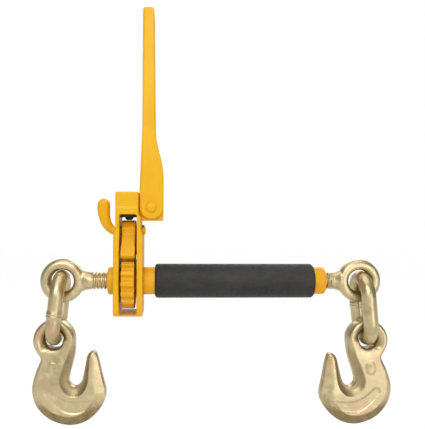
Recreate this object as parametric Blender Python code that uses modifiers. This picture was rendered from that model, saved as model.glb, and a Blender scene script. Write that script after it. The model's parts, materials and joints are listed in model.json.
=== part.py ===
"""Ratchet load binder with a folding handle, two eyebolts, two links and two grab hooks.

Metres, +Z up. The barrel's axis is X and its middle is the origin; the handle stands up along Z
and the flat faces of the hooks look along Y. The left end is the ratchet end.
"""

import math

import bmesh
import bpy
from mathutils import Matrix, Vector

# Clearances
SEAT_GAP = 0.0003
RUN_GAP = 0.0004

# Barrel, grip and screws
BARREL_LENGTH = 0.254
BARREL_DIA = 0.03175
BARREL_END_ROUND = 0.002
COLLAR_SHOWN = 0.0074
THREADED_END = 0.021
GRIP_SETBACK = 0.0137
GRIP_WALL = 0.0037
GRIP_ROUND = 0.003
SCREW_DIA = 0.020
SCREW_TIP_SETBACK = 0.0135
SCREW_TIP_CHAMFER = 0.0015
LEFT_THREAD_SHOWN = 0.0202
RIGHT_THREAD_SHOWN = 0.0100
STOP_STEP = 0.002
STOP_PIN_DIA = 0.005
STOP_PIN_SETBACK = 0.006

# Eyes of the eyebolts
EYE_PLAY = 0.0047
EYE_BAR = 0.0124
EYE_THICKNESS = 0.0155
NECK_LENGTH = 0.0326
NECK_SUNK = 0.0010
# Neck from the ring to the screw: share of its run, depth from the ring's half-thickness (0)
# to the screw's radius (1), and height in screw radii
NECK_STATIONS = (
    (0.00, -0.16, 1.46),
    (0.24, 0.20, 1.32),
    (0.50, 0.53, 1.14),
    (0.76, 0.82, 1.03),
)

# Links, as (seat in the eye's hole, lean of the link) on each side
LINK_WIRE_DIA = 0.0166
LINK_SIDE_PLAY = 0.0035
LINK_PITCH = 0.0710
LINK_POSE = {
    "left": (math.radians(75), math.radians(6)),
    "right": (math.radians(45), math.radians(5)),
}

# Grab hooks, measured from the centre of the hook's eye
HOOK_THICKNESS = 0.0205
HOOK_EDGE_THICKNESS = 0.0104
HOOK_EYE_RADIUS = 0.0238
HOOK_PLAY = 0.0021
HOOK_HOLE_FLARE = 0.0066
HOOK_EYE_BEVEL = 0.0036
HOOK_EYE_START = math.radians(-128)
HOOK_EYE_END = math.radians(84)
HOOK_EYE_ROUND = 0.30
# Edge from the eye round the throat, the point and the back, as (inward, up, bevel's width,
# share of that width at half the bevel's depth: hollow in the throat, round on the back)
HOOK_EDGE = (
    (0.0236, -0.0160, 0.0074, 0.56),
    (0.0181, -0.0391, 0.0099, 0.64),
    (0.0174, -0.0494, 0.0104, 0.64),
    (0.0247, -0.0544, 0.0104, 0.64),
    (0.0316, -0.0478, 0.0074, 0.62),
    (0.0350, -0.0334, 0.0047, 0.56),
    (0.0383, -0.0180, 0.0030, 0.45),
    (0.0450, -0.0136, 0.0028, 0.36),
    (0.0497, -0.0191, 0.0030, 0.36),
    (0.0556, -0.0422, 0.0040, 0.34),
    (0.0600, -0.0631, 0.0062, 0.30),
    (0.0527, -0.0803, 0.0084, 0.28),
    (0.0376, -0.0938, 0.0092, 0.28),
    (0.0179, -0.0982, 0.0092, 0.28),
    (-0.0043, -0.0916, 0.0084, 0.28),
    (-0.0198, -0.0760, 0.0068, 0.30),
    (-0.0250, -0.0568, 0.0052, 0.32),
    (-0.0211, -0.0375, 0.0042, 0.34),
    (-0.0153, -0.0223, 0.0038, 0.34),
)
HOOK_SWING = {"left": 0.0, "right": math.radians(3.5)}

# Ratchet housing
CHEEK_GAP = 0.0197
LOWER_CHEEK = 0.0069
UPPER_CHEEK = 0.0045
HOUSING_EDGE = 0.0012
WEB_THICKNESS = 0.0030
SHOULDER_BELOW = 0.0050
SHOULDER_RISE = 0.0065
BLOCK_HEIGHT = 0.0257
BLOCK_COVER = 0.0014
BLOCK_RIGHT_STEP = 0.0028
FLANK_RISE = 0.0078
FLANK_STEP = 0.0006
FOOT_ROUND = 0.0100

# Ratchet wheel
TOOTH_COUNT = 16
WHEEL_RADIUS = 0.0323
WHEEL_CLEAR = 0.0040
TOOTH_HEIGHT = 0.0040
TOOTH_TIP = 0.0044
TOOTH_FOOT = 0.0074
WHEEL_WIDTH = 0.0148
WHEEL_CHAMFER = 0.0009
WHEEL_PIN_DIA = 0.005
WHEEL_PIN_SUNK = 0.0006
WHEEL_PIN_FLOOR = 0.0010

# Pawl, its lever and its plunger
PAWL_RISE = 0.0262
PAWL_WIDTH = 0.0160
PAWL_TOP_RADIUS = 0.0121
PAWL_TOP_SPREAD = math.radians(34)
PAWL_ARCH_CLEAR = 0.0070
PAWL_ARCH_START = math.radians(21)
PAWL_ARCH_END = math.radians(7)
PAWL_SHOULDER = 0.0128
PAWL_SHOULDER_HALF = 0.0040
PAWL_EDGE = 0.0006
PAWL_SWING = math.radians(11)
TOE_BITE = 0.0028
TOE_TIP = 0.0028
TOE_FOOT = 0.0050
TOE_LENGTH = 0.0055
TOE_BACK = 0.0026
PAWL_PIN_DIA = 0.004
PAWL_PIN_SUNK = 0.0012
PAWL_PIN_COVER = 0.0034
LEVER_SHAFT_DIA = 0.0098
LEVER_SHAFT_END = 0.0012
LEVER_SHAFT_CHAMFER = 0.0008
LEVER_ROOT = 0.002
LEVER_REACH = 0.0126
LEVER_HEIGHT = 0.0374
LEVER_PAD_RADIUS = 0.0078
LEVER_FLATTEN = 0.82
# Finger from the shaft to the pad, in shares of its reach, its height and its swelling
LEVER_BEND = (
    (0.00, 0.000, 0.00),
    (0.30, 0.045, 0.13),
    (0.74, 0.230, 0.43),
    (0.97, 0.510, 0.78),
    (1.00, 0.740, 1.00),
)
# Rounded end of the pad, in shares of the lever's height and of the pad's radius
LEVER_PAD_END = ((0.890, 0.88), (0.965, 0.58), (1.000, 0.24))
CROSS_PIN_DIA = 0.003
CROSS_PIN_LENGTH = 0.0072
CROSS_PIN_PROUD = 0.0016
PLUNGER_DIA = 0.011
PLUNGER_LENGTH = 0.0115
PLUNGER_SHOWN = 0.0070
PLUNGER_NOSE = 0.0040
PLUNGER_NOSE_DIA = 0.0054
PLUNGER_TRAVEL = 0.003
PLUNGER_BORE_DEPTH = 0.020

# Folding handle
HANDLE_ROOT_RADIUS = 0.0138
HANDLE_PIVOT_RISE = 0.0082
HANDLE_LENGTH = 0.2297
HANDLE_TIP_WIDTH = 0.0133
HANDLE_TIP_ROUND = 0.0035
HANDLE_NECK_FOOT = 0.034
HANDLE_NECK_TOP = 0.092
HANDLE_NECK_WIDTH = 0.0150
HANDLE_LEAN = 0.0030
HANDLE_WALL = 0.004
HANDLE_EDGE = 0.0012
TONGUE_THICKNESS = 0.022
TONGUE_BELOW = 0.0155
TONGUE_ABOVE = 0.0130
RIVET_DIA = 0.009
RIVET_HEAD_DIA = 0.014
RIVET_HEAD_HEIGHT = 0.0026

# Handle detent in the block
DETENT_RISE = 0.0116
DETENT_DIA = 0.007
DETENT_NOSE = 0.0016
DETENT_NOSE_DIA = 0.0038
DETENT_LENGTH = 0.011
DETENT_TRAVEL = 0.0025
PLUG_DIA = 0.0164
PLUG_DEPTH = 0.004
PLUG_PROUD = 0.0018
PLUG_RIM_DIA = 0.0118
PLUG_DISH = 0.0014
PLUG_DISH_DIA = 0.0066

# Springs
PAWL_SPRING_DIA = 0.0088
PAWL_SPRING_WIRE = 0.0012
DETENT_SPRING_DIA = 0.0056
DETENT_SPRING_WIRE = 0.0009
SPRING_CURLS = 5
POINTS_PER_CURL = 8

# How far a cutter runs past the face that it opens
PAST = 0.002

# Facets round a turned piece, by its size
FACETS_BARREL = 48
FACETS_GRIP = 40
FACETS_SMALL = 24
FACETS_PIN = 16
FACETS_SCREW = 28
FACETS_EYE = 32
FACETS_EYE_SECTION = 12
SHARP_FROM = math.radians(35)

# Places worked out from the driving sizes
BARREL_HALF = BARREL_LENGTH / 2
BARREL_HOLLOW_DIA = SCREW_DIA + 2 * STOP_STEP
GRIP_DIA = BARREL_DIA + 2 * (SEAT_GAP + GRIP_WALL)
LOWER_HALF = CHEEK_GAP / 2 + LOWER_CHEEK
UPPER_HALF = CHEEK_GAP / 2 + UPPER_CHEEK
HOUSING_X = COLLAR_SHOWN + LOWER_HALF - BARREL_HALF
BLOCK_LEFT = HOUSING_X - UPPER_HALF
BLOCK_RIGHT = HOUSING_X + UPPER_HALF - BLOCK_RIGHT_STEP
PAWL_PIVOT_Z = WHEEL_RADIUS + PAWL_RISE
PAWL_ARCH_RADIUS = WHEEL_RADIUS + PAWL_ARCH_CLEAR
BLOCK_BOTTOM = PAWL_PIVOT_Z + PAWL_TOP_RADIUS + PLUNGER_SHOWN
BLOCK_TOP = BLOCK_BOTTOM + BLOCK_HEIGHT
SHOULDER_Z = PAWL_PIVOT_Z - SHOULDER_BELOW
FLANK_TOP_Z = BLOCK_BOTTOM + FLANK_RISE
WINDOW_BOTTOM = -WHEEL_RADIUS - WHEEL_CLEAR
HOUSING_DROP = WEB_THICKNESS - WINDOW_BOTTOM
GRIP_LEFT = HOUSING_X + LOWER_HALF + GRIP_SETBACK
GRIP_RIGHT = BARREL_HALF - GRIP_SETBACK
SCREW_LENGTH = BARREL_HALF - SCREW_TIP_SETBACK
TOOTH_PITCH = math.tau / TOOTH_COUNT
PLUNGER_LOW = PAWL_PIVOT_Z + PAWL_TOP_RADIUS + SEAT_GAP
HANDLE_PIVOT_Z = BLOCK_BOTTOM + HANDLE_PIVOT_RISE
HANDLE_LEFT = BLOCK_RIGHT + 2 * SEAT_GAP
HANDLE_PIVOT_X = HANDLE_LEFT + HANDLE_ROOT_RADIUS
HANDLE_RIGHT = HANDLE_PIVOT_X + HANDLE_ROOT_RADIUS
HANDLE_TIP_Z = HANDLE_PIVOT_Z + HANDLE_LENGTH
NECK_FOOT_Z = HANDLE_PIVOT_Z + HANDLE_NECK_FOOT
NECK_TOP_Z = HANDLE_PIVOT_Z + HANDLE_NECK_TOP
HANDLE_INSIDE = TONGUE_THICKNESS / 2 + RUN_GAP
HANDLE_HALF = HANDLE_INSIDE + HANDLE_WALL
DETENT_Y = HANDLE_INSIDE + HANDLE_WALL / 2
DETENT_Z = BLOCK_BOTTOM + DETENT_RISE
BLOCK_DEPTH = 2 * (DETENT_Y + PLUG_DIA / 2 + SEAT_GAP + BLOCK_COVER)
OUTWARD = {"left": -1, "right": 1}
EYE_X = {
    "left": -BARREL_HALF - LEFT_THREAD_SHOWN - NECK_LENGTH,
    "right": BARREL_HALF + RIGHT_THREAD_SHOWN + NECK_LENGTH,
}
LINK_RADIUS = LINK_WIRE_DIA / 2
LINK_INSIDE_WIDTH = HOOK_THICKNESS + LINK_SIDE_PLAY
EYE_HOLE_RADIUS = LINK_RADIUS + EYE_PLAY
EYE_RADIUS = EYE_HOLE_RADIUS + EYE_BAR
HOOK_HOLE_RADIUS = LINK_RADIUS + HOOK_PLAY
LINK_SLACK = EYE_PLAY - SEAT_GAP
HOOK_SLACK = HOOK_PLAY - SEAT_GAP

# Turns that lay a flat outline, or a turned piece, along the axes of the object
FACING_X = (math.pi / 2, 0, math.pi / 2)
FACING_Y = (math.pi / 2, 0, 0)
ALONG_X = (0, math.pi / 2, 0)
ALONG_Y = (math.pi / 2, 0, 0)
ALONG_Z = (0, 0, 0)


def clear_scene():
    for old in list(bpy.data.objects):
        bpy.data.objects.remove(old)


def new_collection(name):
    group = bpy.data.collections.new(name)
    bpy.context.scene.collection.children.link(group)
    return group


def finish(name, colour, roughness, metallic):
    material = bpy.data.materials.new(name)
    material.use_nodes = True
    shader = material.node_tree.nodes["Principled BSDF"]
    shader.inputs["Base Color"].default_value = (*colour, 1)
    shader.inputs["Roughness"].default_value = roughness
    shader.inputs["Metallic"].default_value = metallic
    return material


clear_scene()
PARTS = new_collection("load_binder")
CUTTERS = new_collection("cutters")
YELLOW = finish("yellow_paint", (0.93, 0.50, 0.03), 0.38, 0.0)
CHROMATE = finish("yellow_chromate", (0.60, 0.48, 0.27), 0.36, 0.85)
RUBBER = finish("black_rubber", (0.035, 0.035, 0.030), 0.75, 0.0)
STEEL = finish("dark_steel", (0.10, 0.10, 0.085), 0.42, 0.9)


def polar(radius, angle, centre=(0.0, 0.0)):
    """A point at an angle measured from the second axis towards the first."""
    return (centre[0] + radius * math.sin(angle), centre[1] + radius * math.cos(angle))


def arc(radius, start, end, count, centre=(0.0, 0.0)):
    steps = range(count + 1)
    return [polar(radius, start + (end - start) * i / count, centre) for i in steps]


def eased(start, end, count):
    """Points along an S between two points, straight along the second axis at both ends."""
    points = []
    for i in range(1, count):
        t = i / count
        blend = t * t * (3 - 2 * t)
        across = start[0] + (end[0] - start[0]) * blend
        points.append((across, start[1] + (end[1] - start[1]) * t))
    return points


def smooth_through(points, count, closed):
    """A smooth curve through points of any width, with count steps between neighbours."""
    last = len(points)
    curve = []
    for i in range(last if closed else last - 1):
        near = [i - 1, i, i + 1, i + 2]
        if closed:
            near = [k % last for k in near]
        else:
            near = [min(max(k, 0), last - 1) for k in near]
        a, b, c, d = (Vector(points[k]) for k in near)
        for j in range(count):
            t = j / count
            bend = (2 * a - 5 * b + 4 * c - d) * t * t + (3 * b - a - 3 * c + d) * t**3
            curve.append(b + ((c - a) * t + bend) / 2)
    if not closed:
        curve.append(Vector(points[-1]))
    return curve


def add(name, data, material, turn=ALONG_Z, place=(0, 0, 0)):
    piece = bpy.data.objects.new(name, data)
    piece.rotation_euler = turn
    piece.location = place
    (PARTS if material else CUTTERS).objects.link(piece)
    if material:
        data.materials.append(material)
    else:
        piece.hide_render = True
        piece.display_type = "WIRE"
    return piece


def smooth(mesh):
    mesh.shade_smooth()
    mesh.set_sharp_from_angle(angle=SHARP_FROM)


def as_mesh(curve_piece):
    """The same piece as a closed mesh, with the loose caps of the curve welded on."""
    bpy.context.view_layer.update()
    graph = bpy.context.evaluated_depsgraph_get()
    mesh = bpy.data.meshes.new_from_object(curve_piece.evaluated_get(graph))
    form = bmesh.new()
    form.from_mesh(mesh)
    bmesh.ops.remove_doubles(form, verts=form.verts, dist=1e-6)
    form.to_mesh(mesh)
    form.free()
    smooth(mesh)
    name = curve_piece.name
    group = curve_piece.users_collection[0]
    solid = bpy.data.objects.new(name, mesh)
    solid.matrix_world = curve_piece.matrix_world
    solid.hide_render = curve_piece.hide_render
    solid.display_type = curve_piece.display_type
    bpy.data.objects.remove(curve_piece)
    solid.name = name
    group.objects.link(solid)
    return solid


def plate(name, outline, half, turn, material=None, place=(0, 0, 0), edge=0.0):
    """A flat outline with a thickness of twice half and its edges rounded off by edge."""
    curve = bpy.data.curves.new(name, "CURVE")
    curve.dimensions = "2D"
    curve.fill_mode = "BOTH"
    curve.extrude = half - edge
    curve.bevel_depth = edge
    curve.bevel_resolution = 1
    curve.offset = -edge
    spline = curve.splines.new("POLY")
    spline.points.add(len(outline) - 1)
    for point, (u, v) in zip(spline.points, outline):
        point.co = (u, v, 0, 1)
    spline.use_cyclic_u = True
    return as_mesh(add(name, curve, material, turn, place))


def tube(name, points, radii, material, sides, turn=ALONG_Z, place=(0, 0, 0), closed=False):
    """A round bar along points; sides is the bevel resolution of its section."""
    curve = bpy.data.curves.new(name, "CURVE")
    curve.dimensions = "3D"
    curve.bevel_depth = 1.0
    curve.bevel_resolution = sides
    curve.use_fill_caps = not closed
    spline = curve.splines.new("POLY")
    spline.points.add(len(points) - 1)
    for point, place_on, radius in zip(spline.points, points, radii):
        point.co = (*place_on, 1)
        point.radius = radius
    spline.use_cyclic_u = closed
    return as_mesh(add(name, curve, material, turn, place))


def turned(name, profile, turn, material=None, place=(0, 0, 0), ring=False, steps=FACETS_GRIP):
    """A profile of (radius, height), from the top down its outer side, spun round its own axis."""
    mesh = bpy.data.meshes.new(name)
    count = len(profile)
    edges = [(i, i + 1) for i in range(count - 1)]
    if ring:
        edges.append((count - 1, 0))
    mesh.from_pydata([(radius, 0, height) for radius, height in profile], edges, [])
    piece = add(name, mesh, material, turn, place)
    spin = piece.modifiers.new("spin", "SCREW")
    spin.steps = steps
    spin.render_steps = steps
    spin.use_merge_vertices = True
    spin.merge_threshold = 1e-5
    spin.use_smooth_shade = True
    return piece


def rod(name, radius, low, high, turn, material=None, place=(0, 0, 0), steps=FACETS_SMALL, chamfer=0.0):
    """A round bar from low to high along its own axis."""
    profile = [(0, high), (radius - chamfer, high)]
    if chamfer:
        profile.append((radius, high - chamfer))
        profile.append((radius, low + chamfer))
    else:
        profile.append((radius, high))
        profile.append((radius, low))
    profile += [(radius - chamfer, low), (0, low)]
    profile = [p for i, p in enumerate(profile) if i == 0 or p != profile[i - 1]]
    return turned(name, profile, turn, material, place, steps=steps)


def box(name, low, high, material=None):
    form = bmesh.new()
    bmesh.ops.create_cube(form, size=1)
    size = Vector(high) - Vector(low)
    bmesh.ops.scale(form, vec=size, verts=form.verts)
    mesh = bpy.data.meshes.new(name)
    form.to_mesh(mesh)
    form.free()
    middle = (Vector(low) + Vector(high)) / 2
    return add(name, mesh, material, place=middle)


def loft(name, rings, material, turn=ALONG_Z, place=(0, 0, 0)):
    """A skin over rings of equally many points, closed by a flat face on the first and last."""
    form = bmesh.new()
    loops = [[form.verts.new(point) for point in ring] for ring in rings]
    count = len(loops[0])
    for near, far in zip(loops, loops[1:]):
        for i in range(count):
            k = (i + 1) % count
            form.faces.new((near[i], near[k], far[k], far[i]))
    form.faces.new(loops[0][::-1])
    form.faces.new(loops[-1])
    bmesh.ops.recalc_face_normals(form, faces=form.faces)
    mesh = bpy.data.meshes.new(name)
    form.to_mesh(mesh)
    form.free()
    smooth(mesh)
    return add(name, mesh, material, turn, place)


def boolean(piece, others, operation):
    for other in others:
        step = piece.modifiers.new(other.name, "BOOLEAN")
        step.operation = operation
        step.object = other
        step.solver = "EXACT"


def cut(piece, *cutters):
    boolean(piece, cutters, "DIFFERENCE")


def join(piece, *added):
    boolean(piece, added, "UNION")


def pivot(name, place):
    mark = bpy.data.objects.new(name, None)
    mark.location = place
    PARTS.objects.link(mark)
    return mark


def carry(mark, *pieces):
    """Hang pieces on the pivot that they turn or slide on, where they stand."""
    bpy.context.view_layer.update()
    for piece in pieces:
        piece.parent = mark
        piece.matrix_parent_inverse = mark.matrix_world.inverted()


def spring(name, dia, wire, length, turn, place):
    """A coil of one unbroken wire; prints the least gap between its neighbouring curls."""
    mean = (dia - wire) / 2
    rise = (length - wire) / SPRING_CURLS
    points = []
    for i in range(SPRING_CURLS * POINTS_PER_CURL + 1):
        turns = i / POINTS_PER_CURL
        angle = math.tau * turns
        points.append((mean * math.cos(angle), mean * math.sin(angle), wire / 2 + rise * turns))
    gap = min(
        (Vector(a) - Vector(b)).length - wire
        for i, a in enumerate(points)
        for b in points[i + POINTS_PER_CURL // 2 :]
    )
    print(f"{name}: least gap between curls {gap * 1000:.2f} mm")
    return tube(name, points, [wire / 2] * len(points), STEEL, 1, turn, place)


def shoulder_half(z):
    """Half the width of the housing outside its cheeks, which narrows at the shoulders."""
    share = min(max((z - SHOULDER_Z) / SHOULDER_RISE, 0), 1)
    return LOWER_HALF + (UPPER_HALF - LOWER_HALF) * share


def housing():
    """One casting: two cheeks, the web under the wheel, the block and the tongue for the handle."""
    block_half = BLOCK_DEPTH / 2
    flank_half = block_half + FLANK_STEP
    foot_middle = flank_half - FOOT_ROUND
    foot_z = FOOT_ROUND - HOUSING_DROP
    outline = arc(FOOT_ROUND, math.pi / 2, math.pi, 6, (foot_middle, foot_z))
    outline += arc(FOOT_ROUND, math.pi, 1.5 * math.pi, 6, (-foot_middle, foot_z))
    outline += [(-flank_half, FLANK_TOP_Z), (-block_half, FLANK_TOP_Z + FLANK_STEP)]
    outline += [(-block_half, BLOCK_TOP), (block_half, BLOCK_TOP)]
    outline += [(block_half, FLANK_TOP_Z + FLANK_STEP), (flank_half, FLANK_TOP_Z)]
    place = (HOUSING_X, 0, 0)
    body = plate("ratchet_housing", outline, LOWER_HALF, FACING_X, YELLOW, place, HOUSING_EDGE)

    past = LOWER_HALF + PAST
    top = BLOCK_TOP + PAST
    for side, step in (("left", 0.0), ("right", BLOCK_RIGHT_STEP)):
        out = OUTWARD[side]
        shoulder = [
            (out * past, SHOULDER_Z),
            (out * LOWER_HALF, SHOULDER_Z),
            (out * UPPER_HALF, SHOULDER_Z + SHOULDER_RISE),
            (out * UPPER_HALF, BLOCK_BOTTOM - step),
            (out * (UPPER_HALF - step), BLOCK_BOTTOM),
            (out * (UPPER_HALF - step), top),
            (out * past, top),
        ]
        cut(body, plate(f"{side}_shoulder_cut", shoulder, BLOCK_DEPTH, FACING_Y, place=place))

    tongue = box(
        "tongue",
        (BLOCK_RIGHT - PAST, -TONGUE_THICKNESS / 2, HANDLE_PIVOT_Z - TONGUE_BELOW),
        (HANDLE_RIGHT, TONGUE_THICKNESS / 2, HANDLE_PIVOT_Z + TONGUE_ABOVE),
    )
    join(body, tongue)

    window = box(
        "window_cut",
        (HOUSING_X - CHEEK_GAP / 2, -BLOCK_DEPTH, WINDOW_BOTTOM),
        (HOUSING_X + CHEEK_GAP / 2, BLOCK_DEPTH, BLOCK_BOTTOM),
    )
    bearing = rod(
        "bearing_cut",
        BARREL_DIA / 2 + RUN_GAP,
        -past,
        past,
        ALONG_X,
        place=(HOUSING_X, 0, 0),
        steps=FACETS_BARREL,
    )
    shaft_hole = rod(
        "lever_shaft_cut",
        LEVER_SHAFT_DIA / 2 + RUN_GAP,
        -past,
        past,
        ALONG_X,
        place=(HOUSING_X, 0, PAWL_PIVOT_Z),
    )
    plunger_bore = rod(
        "plunger_bore_cut",
        PLUNGER_DIA / 2 + SEAT_GAP,
        -PAST,
        PLUNGER_BORE_DEPTH,
        ALONG_Z,
        place=(HOUSING_X, 0, BLOCK_BOTTOM),
    )
    detent_bore = rod(
        "detent_bore_cut",
        DETENT_DIA / 2 + SEAT_GAP,
        -UPPER_HALF - PAST,
        UPPER_HALF + PAST,
        ALONG_X,
        place=(HOUSING_X, DETENT_Y, DETENT_Z),
    )
    plug_seat = rod(
        "plug_seat_cut",
        PLUG_DIA / 2 + SEAT_GAP,
        -PAST,
        PLUG_DEPTH + SEAT_GAP,
        ALONG_X,
        place=(BLOCK_LEFT, DETENT_Y, DETENT_Z),
    )
    rivet_hole = rod(
        "rivet_hole_cut",
        RIVET_DIA / 2 + SEAT_GAP,
        -TONGUE_THICKNESS,
        TONGUE_THICKNESS,
        ALONG_Y,
        place=(HANDLE_PIVOT_X, 0, HANDLE_PIVOT_Z),
    )
    cut(body, window, bearing, shaft_hole, plunger_bore, detent_bore, plug_seat, rivet_hole)
    return body


def barrel():
    """The threaded tube that the wheel turns; its ends are tapped and its middle is hollow."""
    outer = BARREL_DIA / 2
    tapped = SCREW_DIA / 2 + RUN_GAP
    hollow = BARREL_HOLLOW_DIA / 2
    end = BARREL_HALF
    inner_end = BARREL_HALF - THREADED_END
    profile = [
        (outer - BARREL_END_ROUND, end),
        (outer, end - BARREL_END_ROUND),
        (outer, BARREL_END_ROUND - end),
        (outer - BARREL_END_ROUND, -end),
        (tapped, -end),
        (tapped, -inner_end),
        (hollow, -inner_end),
        (hollow, inner_end),
        (tapped, inner_end),
        (tapped, end),
    ]
    piece = turned("barrel_tube", profile, ALONG_X, YELLOW, ring=True, steps=FACETS_BARREL)
    cut(piece, wheel_pin("wheel_pin_socket_cut", None, SEAT_GAP))
    return piece


def grip():
    """The rubber sleeve on the barrel, rounded at both ends."""
    outer = GRIP_DIA / 2
    bore = BARREL_DIA / 2 + SEAT_GAP
    half = (GRIP_RIGHT - GRIP_LEFT) / 2
    round_centre = (outer - GRIP_ROUND, half - GRIP_ROUND)
    top = arc(GRIP_ROUND, 0, math.pi / 2, 3, round_centre)
    bottom = [(radius, -height) for radius, height in reversed(top)]
    profile = top + bottom + [(bore, -half), (bore, half)]
    middle = (GRIP_LEFT + GRIP_RIGHT) / 2
    return turned("grip_sleeve", profile, ALONG_X, RUBBER, (middle, 0, 0), ring=True)


def tooth_half_angle(radius):
    """Half the angle that a tooth takes up at a radius between its foot and its tip."""
    foot = WHEEL_RADIUS - TOOTH_HEIGHT
    share = (radius - foot) / TOOTH_HEIGHT
    return (TOOTH_FOOT + (TOOTH_TIP - TOOTH_FOOT) * share) / 2 / radius


def wheel():
    """The ratchet wheel, with straight-sided teeth that hold both ways and one tooth straight up."""
    foot = WHEEL_RADIUS - TOOTH_HEIGHT
    outline = []
    for i in range(TOOTH_COUNT):
        middle = -i * TOOTH_PITCH
        for radius, side in ((foot, 1), (WHEEL_RADIUS, 1), (WHEEL_RADIUS, -1), (foot, -1)):
            outline.append(polar(radius, middle + side * tooth_half_angle(radius)))
    place = (HOUSING_X, 0, 0)
    piece = plate("ratchet_wheel", outline, WHEEL_WIDTH / 2, FACING_X, YELLOW, place, WHEEL_CHAMFER)
    bore = rod(
        "wheel_bore_cut",
        BARREL_DIA / 2 + SEAT_GAP,
        -WHEEL_WIDTH,
        WHEEL_WIDTH,
        ALONG_X,
        place=place,
        steps=FACETS_BARREL,
    )
    cut(piece, bore, wheel_pin("wheel_pin_hole_cut", None, SEAT_GAP))
    return piece


def wheel_pin(name, material, clearance):
    """The pin that keys the wheel to the barrel, in the gap between two teeth at the back."""
    inner = BARREL_HOLLOW_DIA / 2 + WHEEL_PIN_FLOOR - clearance
    outer = WHEEL_RADIUS - TOOTH_HEIGHT - WHEEL_PIN_SUNK
    if material is None:
        outer = WHEEL_RADIUS
    turn = (-TOOTH_PITCH * (TOOTH_COUNT / 4 - 0.5), 0, 0)
    radius = WHEEL_PIN_DIA / 2 + clearance
    return rod(name, radius, inner, outer, turn, material, (HOUSING_X, 0, 0), steps=FACETS_PIN)


def from_bite(radius, offset):
    """A point of the toe, given where it lies on the wheel when the pawl is swung in, at rest."""
    bite = TOOTH_PITCH * 1.5
    along = polar(radius, bite)
    y = along[0] + offset * math.cos(bite)
    z = along[1] - offset * math.sin(bite) - PAWL_PIVOT_Z
    turn = PAWL_SWING
    return (
        y * math.cos(turn) - z * math.sin(turn),
        y * math.sin(turn) + z * math.cos(turn) + PAWL_PIVOT_Z,
    )


def pawl():
    """A rocker with a toe on each side of the wheel, drawn in neutral with both toes clear."""
    centre = (0.0, PAWL_PIVOT_Z)
    tip = WHEEL_RADIUS - TOE_BITE
    foot = tip + TOE_LENGTH
    right = arc(PAWL_TOP_RADIUS, 0, PAWL_TOP_SPREAD, 4, centre)
    right.append((PAWL_SHOULDER, PAWL_PIVOT_Z + PAWL_SHOULDER_HALF))
    right.append((PAWL_SHOULDER, PAWL_PIVOT_Z - PAWL_SHOULDER_HALF))
    right.append(from_bite(foot, TOE_FOOT / 2 + TOE_BACK))
    right.append(from_bite(tip + TOE_LENGTH / 2, TOE_FOOT / 2 + TOE_BACK / 3))
    right.append(from_bite(tip, TOE_TIP / 2))
    right.append(from_bite(tip, -TOE_TIP / 2))
    right.append(from_bite(foot, -TOE_FOOT / 2))
    right += arc(PAWL_ARCH_RADIUS, PAWL_ARCH_START, PAWL_ARCH_END, 2)
    left = [(-y, z) for y, z in reversed(right[1:])]
    outline = (right + left)[::-1]
    piece = plate("pawl", outline, PAWL_WIDTH / 2, FACING_X, YELLOW, (HOUSING_X, 0, 0), PAWL_EDGE)
    hole = rod(
        "pawl_bore_cut",
        LEVER_SHAFT_DIA / 2 + SEAT_GAP,
        -PAWL_WIDTH,
        PAWL_WIDTH,
        ALONG_X,
        place=(HOUSING_X, 0, PAWL_PIVOT_Z),
    )
    cut(piece, hole, pawl_pin("pawl_pin_hole_cut", None, SEAT_GAP))
    return piece


def pawl_pin(name, material, clearance):
    """The pin that keys the pawl to the lever's shaft, driven in from the arch over the wheel."""
    low = PAWL_ARCH_RADIUS + PAWL_PIN_SUNK
    high = PAWL_PIVOT_Z + PAWL_TOP_RADIUS - PAWL_PIN_COVER + clearance
    if material is None:
        low = WHEEL_RADIUS
    radius = PAWL_PIN_DIA / 2 + clearance
    return rod(name, radius, low, high, ALONG_Z, material, (HOUSING_X, 0, 0), steps=FACETS_PIN)


def cross_pin_place():
    """Where the cross pin's middle lies along the shaft, just clear of the right shoulder."""
    return shoulder_half(PAWL_PIVOT_Z + LEVER_SHAFT_DIA / 2) + RUN_GAP + CROSS_PIN_DIA / 2


def selector_lever():
    """A bent finger with a rounded end on a shaft that runs through both cheeks and the pawl."""
    neck = -LOWER_HALF - RUN_GAP
    shaft_radius = LEVER_SHAFT_DIA / 2
    path = []
    for across, up, swell in LEVER_BEND:
        radius = shaft_radius + (LEVER_PAD_RADIUS - shaft_radius) * swell
        path.append((neck - LEVER_REACH * across, LEVER_HEIGHT * up, radius))
    for up, narrow in LEVER_PAD_END:
        path.append((neck - LEVER_REACH, LEVER_HEIGHT * up, LEVER_PAD_RADIUS * narrow))
    curve = smooth_through(path, 3, False)
    points = [(x, 0, z) for x, z, _ in curve]
    radii = [radius for _, _, radius in curve]
    place = (HOUSING_X, 0, PAWL_PIVOT_Z)
    finger = tube("lever_finger", points, radii, None, 3, place=place)
    finger.data.transform(Matrix.Diagonal((1, LEVER_FLATTEN, 1, 1)))
    piece = rod(
        "selector_lever",
        shaft_radius,
        neck - LEVER_ROOT,
        cross_pin_place() + CROSS_PIN_DIA / 2 + LEVER_SHAFT_END,
        ALONG_X,
        YELLOW,
        place,
        chamfer=LEVER_SHAFT_CHAMFER,
    )
    join(piece, finger)
    cut(
        piece,
        pawl_pin("shaft_pin_hole_cut", None, SEAT_GAP),
        cross_pin("cross_pin_hole_cut", None, SEAT_GAP),
    )
    return piece


def cross_pin(name, material, clearance):
    """The pin that stands in the top of the shaft's far end, or with a clearance its blind hole."""
    top = LEVER_SHAFT_DIA / 2 + CROSS_PIN_PROUD
    bottom = top - CROSS_PIN_LENGTH - clearance
    place = (HOUSING_X + cross_pin_place(), 0, PAWL_PIVOT_Z)
    return rod(name, CROSS_PIN_DIA / 2 + clearance, bottom, top, ALONG_Z, material, place, FACETS_PIN)


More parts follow.
